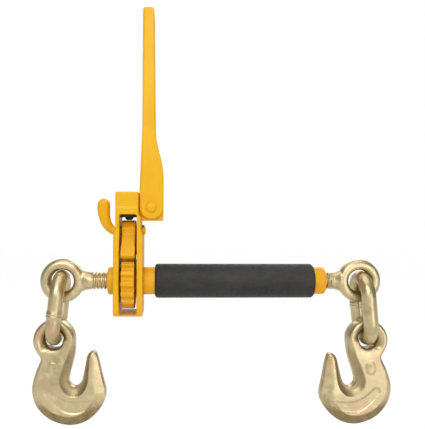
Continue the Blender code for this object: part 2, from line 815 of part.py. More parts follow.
def pawl_plunger():
    """The spring plunger in the block that bears on the pawl's round top."""
    radius = PLUNGER_DIA / 2
    profile = [
        (0, PLUNGER_LOW + PLUNGER_LENGTH),
        (radius, PLUNGER_LOW + PLUNGER_LENGTH),
        (radius, PLUNGER_LOW + PLUNGER_NOSE),
        ((radius + PLUNGER_NOSE_DIA / 2) / 2, PLUNGER_LOW + PLUNGER_NOSE / 4),
        (PLUNGER_NOSE_DIA / 2, PLUNGER_LOW),
        (0, PLUNGER_LOW),
    ]
    return turned("pawl_plunger", profile, ALONG_Z, STEEL, (HOUSING_X, 0, 0), steps=FACETS_SMALL)


def pawl_spring():
    """Drawn at its pressed length, against the end of its bore."""
    low = PLUNGER_LOW + PLUNGER_LENGTH + PLUNGER_TRAVEL + SEAT_GAP
    length = BLOCK_BOTTOM + PLUNGER_BORE_DEPTH - SEAT_GAP - low
    place = (HOUSING_X, 0, low)
    return spring("pawl_spring", PAWL_SPRING_DIA, PAWL_SPRING_WIRE, length, ALONG_Z, place)


def handle_left(z):
    """The left edge of the handle, which leans in from the root to the neck."""
    share = min(max((z - BLOCK_TOP) / (NECK_TOP_Z - BLOCK_TOP), 0), 1)
    return HANDLE_LEFT + HANDLE_LEAN * share


def handle():
    """A pressed channel: its web looks left, its two walls straddle the tongue at the root."""
    centre = (HANDLE_PIVOT_X, HANDLE_PIVOT_Z)
    tip_left = handle_left(HANDLE_TIP_Z)
    tip_right = tip_left + HANDLE_TIP_WIDTH
    neck_right = handle_left(NECK_TOP_Z) + HANDLE_NECK_WIDTH
    corner = HANDLE_TIP_ROUND
    outline = arc(HANDLE_ROOT_RADIUS, math.pi / 2, math.pi * 1.5, 16, centre)
    outline.append((handle_left(BLOCK_TOP), BLOCK_TOP))
    outline.append((handle_left(NECK_FOOT_Z), NECK_FOOT_Z))
    outline.append((handle_left(NECK_TOP_Z), NECK_TOP_Z))
    outline += arc(corner, -math.pi / 2, 0, 4, (tip_left + corner, HANDLE_TIP_Z - corner))
    outline += arc(corner, 0, math.pi / 2, 4, (tip_right - corner, HANDLE_TIP_Z - corner))
    neck_top = (neck_right, NECK_TOP_Z)
    neck_foot = (HANDLE_RIGHT, NECK_FOOT_Z)
    outline.append(neck_top)
    outline += eased(neck_top, neck_foot, 8)
    outline.append(neck_foot)
    piece = plate("folding_handle", outline, HANDLE_HALF, FACING_Y, YELLOW, edge=HANDLE_EDGE)

    past_right = HANDLE_RIGHT + PAST
    web_foot = BLOCK_TOP + 2 * SEAT_GAP
    root_bottom = HANDLE_PIVOT_Z - HANDLE_ROOT_RADIUS - PAST
    inside = [
        (HANDLE_LEFT - PAST, root_bottom),
        (HANDLE_LEFT - PAST, web_foot),
        (handle_left(web_foot) + HANDLE_WALL, web_foot),
        (handle_left(NECK_TOP_Z) + HANDLE_WALL, NECK_TOP_Z),
        (tip_left + HANDLE_WALL, HANDLE_TIP_Z - HANDLE_WALL),
        (past_right, HANDLE_TIP_Z - HANDLE_WALL),
        (past_right, root_bottom),
    ]
    channel = plate("channel_cut", inside, HANDLE_INSIDE, FACING_Y)
    hole = rod(
        "handle_rivet_cut",
        RIVET_DIA / 2 + SEAT_GAP,
        -HANDLE_HALF - PAST,
        HANDLE_HALF + PAST,
        ALONG_Y,
        place=(HANDLE_PIVOT_X, 0, HANDLE_PIVOT_Z),
    )
    cut(piece, channel, hole)
    return piece


def rivet():
    """The handle's pin, with a low round head on each side."""
    shank = RIVET_DIA / 2
    head = RIVET_HEAD_DIA / 2
    seat = HANDLE_HALF + SEAT_GAP
    dome = (head * head + RIVET_HEAD_HEIGHT**2) / (2 * RIVET_HEAD_HEIGHT)
    reach = math.asin(head / dome)
    top = arc(dome, 0, reach, 3, (0, seat + RIVET_HEAD_HEIGHT - dome))
    bottom = [(radius, -height) for radius, height in reversed(top)]
    profile = top + [(shank, seat), (shank, -seat)] + bottom
    place = (HANDLE_PIVOT_X, 0, HANDLE_PIVOT_Z)
    return turned("handle_rivet", profile, ALONG_Y, YELLOW, place, steps=FACETS_SMALL)


def detent_plug():
    """The dished plug that closes the detent's bore on the block's left side."""
    radius = PLUG_DIA / 2
    profile = [
        (0, PLUG_DEPTH),
        (radius, PLUG_DEPTH),
        (radius, -PLUG_PROUD / 2),
        (PLUG_RIM_DIA / 2, -PLUG_PROUD),
        (PLUG_DISH_DIA / 2, PLUG_DISH - PLUG_PROUD),
        (0, PLUG_DISH - PLUG_PROUD),
    ]
    place = (BLOCK_LEFT, DETENT_Y, DETENT_Z)
    return turned("detent_plug", profile, ALONG_X, YELLOW, place, steps=FACETS_SMALL)


def detent_plunger():
    """The pin that the handle's root rides on; its nose is flush with the block."""
    radius = DETENT_DIA / 2
    profile = [
        (0, 0),
        (DETENT_NOSE_DIA / 2, 0),
        (radius, -DETENT_NOSE),
        (radius, -DETENT_LENGTH),
        (0, -DETENT_LENGTH),
    ]
    place = (BLOCK_RIGHT - SEAT_GAP, DETENT_Y, DETENT_Z)
    return turned("detent_plunger", profile, ALONG_X, STEEL, place, steps=FACETS_SMALL)


def detent_spring():
    """Drawn at its pressed length, against the plug."""
    low = BLOCK_LEFT + PLUG_DEPTH + SEAT_GAP
    length = BLOCK_RIGHT - SEAT_GAP - DETENT_LENGTH - DETENT_TRAVEL - SEAT_GAP - low
    place = (low, DETENT_Y, DETENT_Z)
    return spring("detent_spring", DETENT_SPRING_DIA, DETENT_SPRING_WIRE, length, ALONG_X, place)


def eye_ring(side):
    """The forged ring of an eyebolt, a little thicker across than it is deep."""
    middle = (EYE_RADIUS + EYE_HOLE_RADIUS) / 2
    section = (EYE_RADIUS - EYE_HOLE_RADIUS) / 2
    bpy.ops.mesh.primitive_torus_add(
        major_radius=middle,
        minor_radius=section,
        major_segments=FACETS_EYE,
        minor_segments=FACETS_EYE_SECTION,
    )
    made = bpy.context.object
    mesh = made.data
    bpy.data.objects.remove(made)
    mesh.transform(Matrix.Diagonal((1, 1, EYE_THICKNESS / 2 / section, 1)))
    smooth(mesh)
    return add(f"{side}_eye_ring", mesh, None, ALONG_Y, (EYE_X[side], 0, 0))


def eyebolt(side, thread_shown):
    """A forged ring, a neck that grows from it, and a plain screw with a hole for its stop pin."""
    middle = (EYE_RADIUS + EYE_HOLE_RADIUS) / 2
    section = (EYE_RADIUS - EYE_HOLE_RADIUS) / 2
    thread = SCREW_DIA / 2
    near = middle - NECK_SUNK
    run = NECK_LENGTH - near
    tip = NECK_LENGTH + thread_shown + SCREW_LENGTH
    stations = []
    for along, depth, height in NECK_STATIONS:
        stations.append((near + run * along, section + (thread - section) * depth, thread * height))
    stations += [
        (NECK_LENGTH, thread, thread),
        (tip - SCREW_TIP_CHAMFER, thread, thread),
        (tip, thread - SCREW_TIP_CHAMFER, thread - SCREW_TIP_CHAMFER),
    ]
    angles = [math.tau * i / FACETS_SCREW for i in range(FACETS_SCREW)]
    rings = []
    for x, deep, tall in stations:
        rings.append([(x, deep * math.cos(a), tall * math.sin(a)) for a in angles])
    turn = (0, 0, math.pi if side == "right" else 0.0)
    piece = loft(f"{side}_eyebolt", rings, CHROMATE, turn, (EYE_X[side], 0, 0))
    join(piece, eye_ring(side))
    cut(piece, stop_pin(side, f"{side}_stop_hole_cut", None, SEAT_GAP))
    return piece


def stop_pin(side, name, material, clearance):
    """The pin through the screw's inner end, which stops the screw at the barrel's tapped end."""
    x = OUTWARD[side] * (SCREW_TIP_SETBACK + STOP_PIN_SETBACK)
    reach = BARREL_HOLLOW_DIA / 2 - RUN_GAP + clearance
    return rod(name, STOP_PIN_DIA / 2 + clearance, -reach, reach, ALONG_Z, material, (x, 0, 0), FACETS_PIN)


def link_top(side):
    """The middle of the link's wire where it lies in the eye."""
    seat, _ = LINK_POSE[side]
    across = LINK_SLACK * math.cos(seat)
    return (EYE_X[side] + OUTWARD[side] * across, 0, LINK_SLACK * math.sin(seat))


def link_bottom(side):
    """The middle of the link's wire where it lies in the hook's eye."""
    _, lean = LINK_POSE[side]
    x, y, z = link_top(side)
    return (x + OUTWARD[side] * LINK_PITCH * math.sin(lean), y, z - LINK_PITCH * math.cos(lean))


def link(side):
    """A closed link of round wire, standing edge-on between the eye and the hook."""
    _, lean = LINK_POSE[side]
    bow = (LINK_INSIDE_WIDTH + LINK_WIRE_DIA) / 2
    top = arc(bow, -math.pi / 2, math.pi / 2, 10, (0, -bow))
    bottom = arc(bow, math.pi / 2, math.pi * 1.5, 10, (0, bow - LINK_PITCH))
    points = [(0, y, z) for y, z in top + bottom]
    turn = (0, -OUTWARD[side] * lean, 0)
    radii = [LINK_RADIUS] * len(points)
    return tube(f"{side}_link", points, radii, CHROMATE, 4, turn, link_top(side), closed=True)


def hook_outline():
    """The hook's edge as (across, up, bevel, half-depth share), clockwise from the eye's foot."""
    eye = arc(HOOK_EYE_RADIUS, HOOK_EYE_START, HOOK_EYE_END, 9)
    edge = [(x, z, HOOK_EYE_BEVEL, HOOK_EYE_ROUND) for x, z in eye]
    edge += HOOK_EDGE
    return smooth_through(edge, 3, True)


def hook(side):
    """A forged grab hook: a bevelled edge all round, widest at the throat that grips one link."""
    outline = hook_outline()
    count = len(outline)
    inward = []
    for i in range(count):
        before = outline[i - 1]
        after = outline[(i + 1) % count]
        run = Vector((after[0] - before[0], after[1] - before[1])).normalized()
        inward.append((run.y, -run.x))
    face = HOOK_THICKNESS / 2
    edge = HOOK_EDGE_THICKNESS / 2
    levels = (-face, -(face + edge) / 2, -edge, edge, (face + edge) / 2, face)
    rings = []
    for y in levels:
        ring = []
        for (x, z, bevel, half_share), (inward_x, inward_z) in zip(outline, inward):
            depth = (abs(y) - edge) / (face - edge)
            inset = bevel * {0.0: 0.0, 0.5: half_share, 1.0: 1.0}[round(depth, 3)]
            ring.append((x + inward_x * inset, y, z + inward_z * inset))
        rings.append(ring)
    turn = (0, HOOK_SWING[side], math.pi if side == "right" else 0.0)
    x, _, z = link_bottom(side)
    eye = (x, 0, z - HOOK_SLACK)
    piece = loft(f"{side}_grab_hook", rings, CHROMATE, turn, eye)
    past = face + PAST
    mouth = [(0, past), (HOOK_HOLE_RADIUS + HOOK_HOLE_FLARE, past)]
    for third in (3, 2, 1):
        share = third / 3
        mouth.append((HOOK_HOLE_RADIUS + HOOK_HOLE_FLARE * share * share, face * share))
    profile = mouth + [(HOOK_HOLE_RADIUS, 0)]
    profile += [(radius, -height) for radius, height in reversed(mouth)]
    cut(piece, turned(f"{side}_hook_hole_cut", profile, ALONG_Y, place=eye, steps=FACETS_SCREW))
    return piece


def build():
    carry(pivot("ratchet_head", (HOUSING_X, 0, 0)), housing(), detent_plug(), detent_spring(), pawl_spring())
    pin = wheel_pin("wheel_pin", YELLOW, 0.0)
    carry(pivot("barrel_axis", (0, 0, 0)), barrel(), wheel(), pin, grip())
    pins = (pawl_pin("pawl_pin", STEEL, 0.0), cross_pin("lever_cross_pin", STEEL, 0.0))
    carry(pivot("pawl_axis", (HOUSING_X, 0, PAWL_PIVOT_Z)), pawl(), selector_lever(), *pins)
    carry(pivot("plunger_slide", (HOUSING_X, 0, BLOCK_BOTTOM)), pawl_plunger())
    carry(pivot("detent_slide", (BLOCK_RIGHT, DETENT_Y, DETENT_Z)), detent_plunger())
    carry(pivot("handle_axis", (HANDLE_PIVOT_X, 0, HANDLE_PIVOT_Z)), handle(), rivet())
    for side, shown in (("left", LEFT_THREAD_SHOWN), ("right", RIGHT_THREAD_SHOWN)):
        pin = stop_pin(side, f"{side}_stop_pin", STEEL, 0.0)
        carry(pivot(f"{side}_screw_slide", (EYE_X[side], 0, 0)), eyebolt(side, shown), pin)
        carry(pivot(f"{side}_link_axis", link_top(side)), link(side))
        carry(pivot(f"{side}_hook_axis", link_bottom(side)), hook(side))


build()
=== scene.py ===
import json
import math

import bmesh
import bpy
import numpy as np
from mathutils import Matrix, Vector
from mathutils.geometry import delaunay_2d_cdt


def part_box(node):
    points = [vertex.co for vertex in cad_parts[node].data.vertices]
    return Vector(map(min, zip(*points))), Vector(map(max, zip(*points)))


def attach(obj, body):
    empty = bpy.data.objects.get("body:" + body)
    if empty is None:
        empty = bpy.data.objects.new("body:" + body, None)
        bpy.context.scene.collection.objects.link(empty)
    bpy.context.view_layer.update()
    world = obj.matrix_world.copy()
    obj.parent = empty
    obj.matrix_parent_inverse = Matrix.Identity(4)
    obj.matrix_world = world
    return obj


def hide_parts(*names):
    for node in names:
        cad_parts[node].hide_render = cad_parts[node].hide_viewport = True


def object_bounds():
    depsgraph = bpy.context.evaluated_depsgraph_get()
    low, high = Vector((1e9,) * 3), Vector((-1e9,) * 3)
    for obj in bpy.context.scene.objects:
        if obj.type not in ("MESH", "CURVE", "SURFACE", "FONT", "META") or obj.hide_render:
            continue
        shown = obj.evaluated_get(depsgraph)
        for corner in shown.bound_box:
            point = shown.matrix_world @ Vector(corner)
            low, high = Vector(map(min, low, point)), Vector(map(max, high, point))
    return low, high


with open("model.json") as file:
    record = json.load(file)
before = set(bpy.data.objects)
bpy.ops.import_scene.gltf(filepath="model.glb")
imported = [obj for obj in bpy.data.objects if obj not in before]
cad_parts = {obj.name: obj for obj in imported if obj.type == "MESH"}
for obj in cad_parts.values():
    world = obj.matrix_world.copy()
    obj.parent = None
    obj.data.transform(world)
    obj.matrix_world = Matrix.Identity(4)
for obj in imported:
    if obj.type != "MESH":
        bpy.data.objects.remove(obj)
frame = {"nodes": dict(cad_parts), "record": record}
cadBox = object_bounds()
places = {}  # where each joint sits, in metres
for joint in frame["record"]["behaviour"]["joints"]:
    places[joint["name"]] = Vector(joint.get("pos_m") or (0, 0, 0))
print("frame loaded:", len(frame["nodes"]), "nodes")


# shader sums

class socketValue:
    def __init__(self, look, socket):
        self.look = look
        self.socket = socket

    def calc(self, operation, first, second):
        return self.look.add("ShaderNodeMath", {"operation": operation}, {0: first, 1: second})

    def __add__(self, other):
        return self.calc("ADD", self, other)

    def __radd__(self, other):
        return self.calc("ADD", other, self)

    def __sub__(self, other):
        return self.calc("SUBTRACT", self, other)

    def __rsub__(self, other):
        return self.calc("SUBTRACT", other, self)

    def __mul__(self, other):
        return self.calc("MULTIPLY", self, other)

    def __rmul__(self, other):
        return self.calc("MULTIPLY", other, self)


class nodeLook:
    def __init__(self, tree):
        self.tree = tree

    def add(self, kind, settings=None, sockets=None, out=0):
        node = self.tree.nodes.new(kind)
        for key, amount in (settings or {}).items():
            setattr(node, key, amount)
        for key, amount in (sockets or {}).items():
            if isinstance(amount, socketValue):
                self.tree.links.new(amount.socket, node.inputs[key])
            else:
                node.inputs[key].default_value = amount
        return socketValue(self, node.outputs[out])

    def noise(self, scale, detail=2.0, rough=0.5, stretch=None, distort=0.0):
        spot = self.add("ShaderNodeTexCoord", out="Object")
        if stretch:
            spot = self.add("ShaderNodeVectorMath", {"operation": "MULTIPLY"}, {0: spot, 1: stretch})
        sockets = {
            "Vector": spot, "Scale": scale, "Detail": detail, "Roughness": rough, "Distortion": distort,
        }
        return self.add("ShaderNodeTexNoise", None, sockets)

    def spread(self, amount, low, high, toLow=0.0, toHigh=1.0):
        sockets = {"Value": amount, 1: low, 2: high, 3: toLow, 4: toHigh}
        return self.add("ShaderNodeMapRange", {"clamp": True, "interpolation_type": "SMOOTHSTEP"}, sockets)

    def blend(self, first, second, amount, how="MIX"):
        settings = {"data_type": "RGBA", "blend_type": how, "clamp_factor": True}
        first = first if isinstance(first, socketValue) else (*first, 1)
        second = second if isinstance(second, socketValue) else (*second, 1)
        return self.add("ShaderNodeMix", settings, {0: amount, 6: first, 7: second}, out=2)

    def bump(self, height, strength, distance, under=None):
        sockets = {"Height": height, "Strength": strength, "Distance": distance}
        if under:
            sockets["Normal"] = under
        return self.add("ShaderNodeBump", None, sockets)


class finishLook(nodeLook):
    def __init__(self, name, fixed):
        self.material = bpy.data.materials.new(name)
        self.material.use_nodes = True
        super().__init__(self.material.node_tree)
        self.shader = self.tree.nodes["Principled BSDF"]
        for socket, amount in fixed.items():
            self.shader.inputs[socket].default_value = amount

    def put(self, links):
        for socket, amount in links.items():
            self.tree.links.new(amount.socket, self.shader.inputs[socket])
        return self.material


paintValues = {
    "yellow": (0.900, 0.480, 0.006),
    "deep": (0.830, 0.370, 0.004),
    "pale": (0.920, 0.530, 0.020),
    # dark tone of dirt and painted shade in the corners
    "cornerDirtShade": (0.085, 0.055, 0.010),
    "gloss": 0.38, "shine": 0.28,
    "cloudSize": 26, "cornerDirtShadeSize": 90, "cornerShadeReach": 0.006, "glossSize": 120,
    "peelSize": 260, "peelDeep": 0.0006, "grainSize": 950, "grainDeep": 0.0004,
}


def yellowPaint(name, castGrain, cornerDirtShade, deeper):
    v = paintValues
    look = finishLook(name, {"Specular IOR Level": v["shine"]})
    cloud = look.noise(v["cloudSize"], 3)
    tone = look.blend(v["yellow"], v["deep"], look.spread(cloud, 0.50, 0.78, deeper, deeper + 0.4))
    tone = look.blend(tone, v["pale"], look.spread(cloud, 0.26, 0.44, 0.5, 0))
    if cornerDirtShade:  # dirt and painted shade, darkest in the corners and gaps that ambient occlusion finds
        shade = look.add("ShaderNodeAmbientOcclusion", {"samples": 8}, {"Distance": v["cornerShadeReach"]}, out="AO")
        corners = look.spread(shade, 0.30, 0.82, 1, 0)
        dirtAndShade = corners * look.spread(look.noise(v["cornerDirtShadeSize"], 4), 0.3, 0.7, 0.35, 1)
        tone = look.blend(tone, v["cornerDirtShade"], dirtAndShade * cornerDirtShade)
    rough = look.spread(look.noise(v["glossSize"], 2), 0.3, 0.7, v["gloss"] - 0.06, v["gloss"] + 0.08)
    peel = look.bump(look.noise(v["peelSize"], 2), 0.10, v["peelDeep"])
    grain = look.bump(look.noise(v["grainSize"], 3, 0.6), castGrain, v["grainDeep"], peel)
    return look.put({"Base Color": tone, "Roughness": rough, "Normal": grain})


chromateValues = {
    "gold": (0.610, 0.492, 0.280),
    "olive": (0.330, 0.280, 0.120),
    "straw": (0.740, 0.640, 0.430),
    "rose": (0.620, 0.360, 0.240),
    "patinaShadeBrown": (0.255, 0.185, 0.082),  # partly dark patina in the throat's hollow, and painted shade there, in the hole's mouth and on the lower slope
    "metal": 0.92, "smooth": 0.27, "rough": 0.42, "hollowRough": 0.10,
    "wideSize": 30, "fineSize": 110, "roseSize": 42, "roseStretch": (1.0, 1.0, 0.7),
    "forgedSize": 140, "forgedDeep": 0.0009, "grainSize": 1300, "grainDeep": 0.0003,
}


def yellowChromate(name):
    v = chromateValues
    look = finishLook(name, {"Metallic": v["metal"]})
    wide = look.noise(v["wideSize"], 3, 0.55, distort=0.6)
    fine = look.noise(v["fineSize"], 4, 0.6)
    flush = look.noise(v["roseSize"], 2, 0.5, v["roseStretch"])
    tone = look.blend(v["gold"], v["olive"], look.spread(wide, 0.46, 0.72, 0, 0.75))
    tone = look.blend(tone, v["straw"], look.spread(fine, 0.48, 0.70, 0, 0.6))
    tone = look.blend(tone, v["rose"], look.spread(flush, 0.54, 0.72, 0, 0.6))
    # the hollow attribute paints brown: partly dark patina in the throat's hollow, and painted shade in the
    # hole's mouth and on the lower slope
    hollow = look.add("ShaderNodeAttribute", {"attribute_name": "hollow"}, out="Fac")
    tone = look.blend(tone, v["patinaShadeBrown"], hollow * look.spread(fine, 0.3, 0.7, 0.75, 1.0))
    rough = look.spread(fine, 0.3, 0.7, v["smooth"], v["rough"]) + hollow * v["hollowRough"]
    forged = look.bump(look.noise(v["forgedSize"], 3, 0.55), 0.20, v["forgedDeep"])
    grain = look.bump(look.noise(v["grainSize"], 3, 0.6), 0.10, v["grainDeep"], forged)
    return look.put({"Base Color": tone, "Roughness": rough, "Normal": grain})


rubberValues = {
    "black": (0.016, 0.0155, 0.0125), "dusty": (0.034, 0.033, 0.027), "shine": 0.4,
    "dustSize": 34, "dustStretch": (0.35, 1.0, 1.0), "glossSize": 300, "skinSize": 1900, "skinDeep": 0.0003,
    "drawnSize": 420, "drawnStretch": (0.02, 1.0, 1.0), "drawnDeep": 0.0004,
}


def blackRubber(name):
    v = rubberValues
    look = finishLook(name, {"Specular IOR Level": v["shine"]})
    dust = look.noise(v["dustSize"], 4, 0.6, v["dustStretch"])
    tone = look.blend(v["black"], v["dusty"], look.spread(dust, 0.40, 0.72))
    rough = look.spread(look.noise(v["glossSize"], 3), 0.3, 0.7, 0.52, 0.68)
    skin = look.bump(look.noise(v["skinSize"], 2, 0.6), 0.16, v["skinDeep"])
    drawn = look.bump(look.noise(v["drawnSize"], 2, 0.5, v["drawnStretch"]), 0.10, v["drawnDeep"], skin)
    return look.put({"Base Color": tone, "Roughness": rough, "Normal": drawn})


steelValues = {
    "dark": (0.035, 0.034, 0.030), "worn": (0.110, 0.100, 0.080), "metal": 0.85,
    "filmSize": 260, "scuffSize": 800, "scuffDeep": 0.0003,
}


def darkSteel(name):
    v = steelValues
    look = finishLook(name, {"Metallic": v["metal"]})
    film = look.noise(v["filmSize"], 3)
    tone = look.blend(v["dark"], v["worn"], look.spread(film, 0.45, 0.75))
    rough = look.spread(film, 0.3, 0.7, 0.30, 0.48)
    scuffs = look.bump(look.noise(v["scuffSize"], 2), 0.12, v["scuffDeep"])
    return look.put({"Base Color": tone, "Roughness": rough, "Normal": scuffs})


# each finish's second amount is how much dirt and painted shade darkens its corners
castYellow = yellowPaint("cast_yellow_paint", castGrain=0.16, cornerDirtShade=0.25, deeper=0.05)
pressedYellow = yellowPaint("pressed_yellow_paint", castGrain=0.07, cornerDirtShade=0.0, deeper=0.0)
workingYellow = yellowPaint("working_yellow_paint", castGrain=0.14, cornerDirtShade=0.95, deeper=0.5)
chromate = yellowChromate("yellow_chromate_plate")
rubber = blackRubber("black_rubber_skin")
steel = darkSteel("oiled_dark_steel")
print("finishes made")


# building pieces from rings of points

def ringFaces(count, rings, closedRound):
    faces = []
    for r in range(rings if closedRound else rings - 1):
        near = r * count
        far = ((r + 1) % rings) * count
        for i in range(count):
            k = (i + 1) % count
            faces.append((near + i, near + k, far + k, far + i))
    return faces


def newMesh(name, points, faces, patinaAndShade=None):
    mesh = bpy.data.meshes.new(name)
    form = bmesh.new()
    # per point share of brown, partly dark patina and partly painted shade, which the chromate finish reads
    layer = form.verts.layers.float.new("hollow") if patinaAndShade is not None else None
    corners = [form.verts.new(p) for p in points]
    if layer:
        for corner, amount in zip(corners, patinaAndShade):
            corner[layer] = amount
    for face in faces:
        form.faces.new([corners[i] for i in face])
    bmesh.ops.remove_doubles(form, verts=form.verts, dist=1e-6)
    bmesh.ops.recalc_face_normals(form, faces=form.faces)
    form.to_mesh(mesh)
    form.free()
    return mesh


crease = {"plain": 38, "forged": 50, "worn": 60}  # degrees over which an edge is shown sharp


def showPiece(name, mesh, finish, body, slot, replaced=(), sharp=crease["plain"]):
    mesh.shade_smooth()
    mesh.set_sharp_from_angle(angle=math.radians(sharp))
    mesh.materials.clear()
    mesh.materials.append(finish)
    piece = bpy.data.objects.new(name, mesh)
    bpy.context.scene.collection.objects.link(piece)
    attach(piece, body)
    if replaced:
        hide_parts(*replaced)


def addPiece(name, points, faces, *rest, patinaAndShade=None, **more):
    showPiece(name, newMesh(name, points, faces, patinaAndShade), *rest, **more)


def sweep(name, spine, sections, closedRound, *rest, **more):
    count = len(sections[0])
    points = [spine[i] + p for i in range(len(spine)) for p in sections[i]]
    faces = ringFaces(count, len(spine), closedRound)
    if not closedRound:
        faces.append(tuple(range(count))[::-1])
        faces.append(tuple(range((len(spine) - 1) * count, len(spine) * count)))
    addPiece(name, points, faces, *rest, **more)


def spun(name, profile, middle, steps, *rest):
    turn = Matrix.Rotation(math.pi / 2, 3, "Y")  # the profile's height runs along the barrel
    points = []
    for radius, height in profile:
        for i in range(steps):
            angle = math.tau * i / steps
            spot = Vector((radius * math.cos(angle), radius * math.sin(angle), height))
            points.append(turn @ spot + middle)
    addPiece(name, points, ringFaces(steps, len(profile), True), *rest)


def throughPoints(points, count, closed):
    points = [np.array(p, dtype=float) for p in points]
    last = len(points)
    curve = []
    for i in range(last if closed else last - 1):
        if closed:
            a, b, c, d = (points[k % last] for k in (i - 1, i, i + 1, i + 2))
        else:
            a, b, c, d = (points[min(max(k, 0), last - 1)] for k in (i - 1, i, i + 1, i + 2))
        for j in range(count):
            t = j / count
            bend = (2 * a - 5 * b + 4 * c - d) * t * t + (3 * b - a - 3 * c + d) * t**3
            curve.append(b + ((c - a) * t + bend) / 2)
    if not closed:
        curve.append(points[-1])
    return np.array(curve)


def softened(mesh, voxel, passes, keep, joined=(), taken=()):
    base = bpy.data.objects.new("soften", mesh)
    bpy.context.scene.collection.objects.link(base)
    helpers = []
    for operation, others in (("UNION", joined), ("DIFFERENCE", taken)):
        for other in others:
            helper = bpy.data.objects.new("helper", other)
            bpy.context.scene.collection.objects.link(helper)
            helpers.append(helper)
            step = base.modifiers.new("cut", "BOOLEAN")
            step.operation = operation
            step.object = helper
            step.solver = "EXACT"
    remesh = base.modifiers.new("even", "REMESH")
    remesh.mode = "VOXEL"
    remesh.voxel_size = voxel
    relax = base.modifiers.new("relax", "SMOOTH")
    relax.factor = 0.5
    relax.iterations = passes
    if keep < 1:
        thin = base.modifiers.new("thin", "DECIMATE")
        thin.ratio = keep
    bpy.context.view_layer.update()
    graph = bpy.context.evaluated_depsgraph_get()
    done = bpy.data.meshes.new_from_object(base.evaluated_get(graph))
    for extra in [base] + helpers:
        bpy.data.objects.remove(extra)
    return done


def nodeMesh(node):
    return frame["nodes"][node].data.copy()


def bodyOf(node):
    for body, nodes in frame["record"]["behaviour"]["bodies"].items():
        if node in nodes:
            return body


# cast and pressed pieces: the solid's own form, with its edges worn round

castValues = {
    # new name, node, cell, smoothing passes, share of faces kept, finish, slot
    "housing_casting": ("ratchet_housing", 0.0009, 5, 0.35, castYellow, "yellow_paint"),
    "ratchet_gear": ("ratchet_wheel", 0.0006, 4, 0.40, workingYellow, "yellow_paint"),
    "rocker_pawl": ("pawl", 0.0006, 4, 0.40, workingYellow, "yellow_paint"),
    "lever_finger": ("selector_lever", 0.0006, 8, 0.40, castYellow, "yellow_paint"),
    "detent_cap": ("detent_plug", 0.0005, 3, 0.50, castYellow, "yellow_paint"),
    "pivot_rivet": ("handle_rivet", 0.0006, 6, 0.50, pressedYellow, "yellow_paint"),
    "pawl_push_rod": ("pawl_plunger", 0.0005, 3, 0.50, steel, "dark_steel"),
}

for name, (node, cell, passes, keep, finish, slot) in castValues.items():
    mesh = softened(nodeMesh(node), cell, passes, keep)
    showPiece(name, mesh, finish, bodyOf(node), slot, [node], crease["worn"])
print("castings softened")

darkPlateValues = {
    "across": 0.0193, "deep": 0.0200, "thick": 0.0036, "hole": 0.0060, "holeSteps": 48, "above": 0.004,
    "cell": 0.0004, "passes": 3, "keep": 0.4,
}


def blockBottom():
    low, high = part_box("pawl_plunger")
    corners = frame["nodes"]["ratchet_housing"].data.vertices
    top = high[2] + darkPlateValues["above"]
    levels = [round(corner.co.z, 5) for corner in corners if low[2] < corner.co.z < top]
    return max(sorted(set(levels)), key=levels.count)  # most of the corners there are on the block's underside


def darkPlateMesh():
    v = darkPlateValues
    low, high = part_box("pawl_plunger")
    middle = Matrix.Translation(((low[0] + high[0]) / 2, 0, blockBottom() - v["thick"] / 2))
    size = Matrix.Diagonal((v["across"], v["deep"], v["thick"], 1))
    plate = bmesh.new()
    bmesh.ops.create_cube(plate, size=1.0, matrix=middle @ size)
    bore = bmesh.new()
    bmesh.ops.create_cone(
        bore, cap_ends=True, segments=v["holeSteps"], radius1=v["hole"], radius2=v["hole"],
        depth=v["thick"] * 3, matrix=middle,
    )
    meshes = []
    for form in (plate, bore):
        mesh = bpy.data.meshes.new("scratch")
        form.to_mesh(mesh)
        form.free()
        meshes.append(mesh)
    return softened(meshes[0], v["cell"], v["passes"], v["keep"], taken=[meshes[1]])


# a thin dark steel plate under the block, with a hole for the plunger
showPiece("dark_plate_under_block", darkPlateMesh(), steel, "ratchet_head", "dark_steel")
print("bush under the block at", blockBottom())

handleValues = {
    "bend": 0.0042, "bendSteps": 10, "past": 0.003, "lean": 0.0030, "webFoot": 0.0008, "over": 0.002,
    "cell": 0.0009, "passes": 5, "keep": 0.35,
}


def bendCutter(left, face, low, high):
    v = handleValues
    outward = -1 if face < 0 else 1
    section = [(-v["past"], v["past"]), (-v["past"], -v["bend"])]
    for i in range(v["bendSteps"] + 1):
        angle = math.pi / 2 * i / v["bendSteps"]
        section.append((v["bend"] * (1 - math.cos(angle)), -v["bend"] * (1 - math.sin(angle))))
    section.append((v["bend"], v["past"]))
    points = []
    for z, shift in ((low, 0.0), (high, v["lean"])):
        points += [(left + shift + x, face + outward * y, z) for x, y in section]
    count = len(section)
    faces = ringFaces(count, 2, False) + [tuple(range(count)), tuple(range(count, 2 * count))]
    return newMesh("scratch", points, faces)


def handleMesh():
    v = handleValues
    low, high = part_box("folding_handle")
    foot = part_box("ratchet_housing")[1][2] + v["webFoot"]
    cutters = [bendCutter(low[0], face, foot, high[2] + v["over"]) for face in (low[1], high[1])]
    return softened(nodeMesh("folding_handle"), v["cell"], v["passes"], v["keep"], taken=cutters)


showPiece(
    "pressed_handle", handleMesh(), pressedYellow, "handle", "yellow_paint", ["folding_handle"], crease["worn"]
)
print("handle pressed")

plainNodes = {
    "wheel_pin": workingYellow, "pawl_pin": steel, "lever_cross_pin": steel, "detent_plunger": steel,
    "left_stop_pin": steel, "right_stop_pin": steel,
}
for node, finish in plainNodes.items():
    mesh = frame["nodes"][node].data
    if not mesh.materials:
        mesh.materials.append(finish)
    for slot in frame["nodes"][node].material_slots:
        slot.material = finish


# barrel and its rubber sleeve, turned

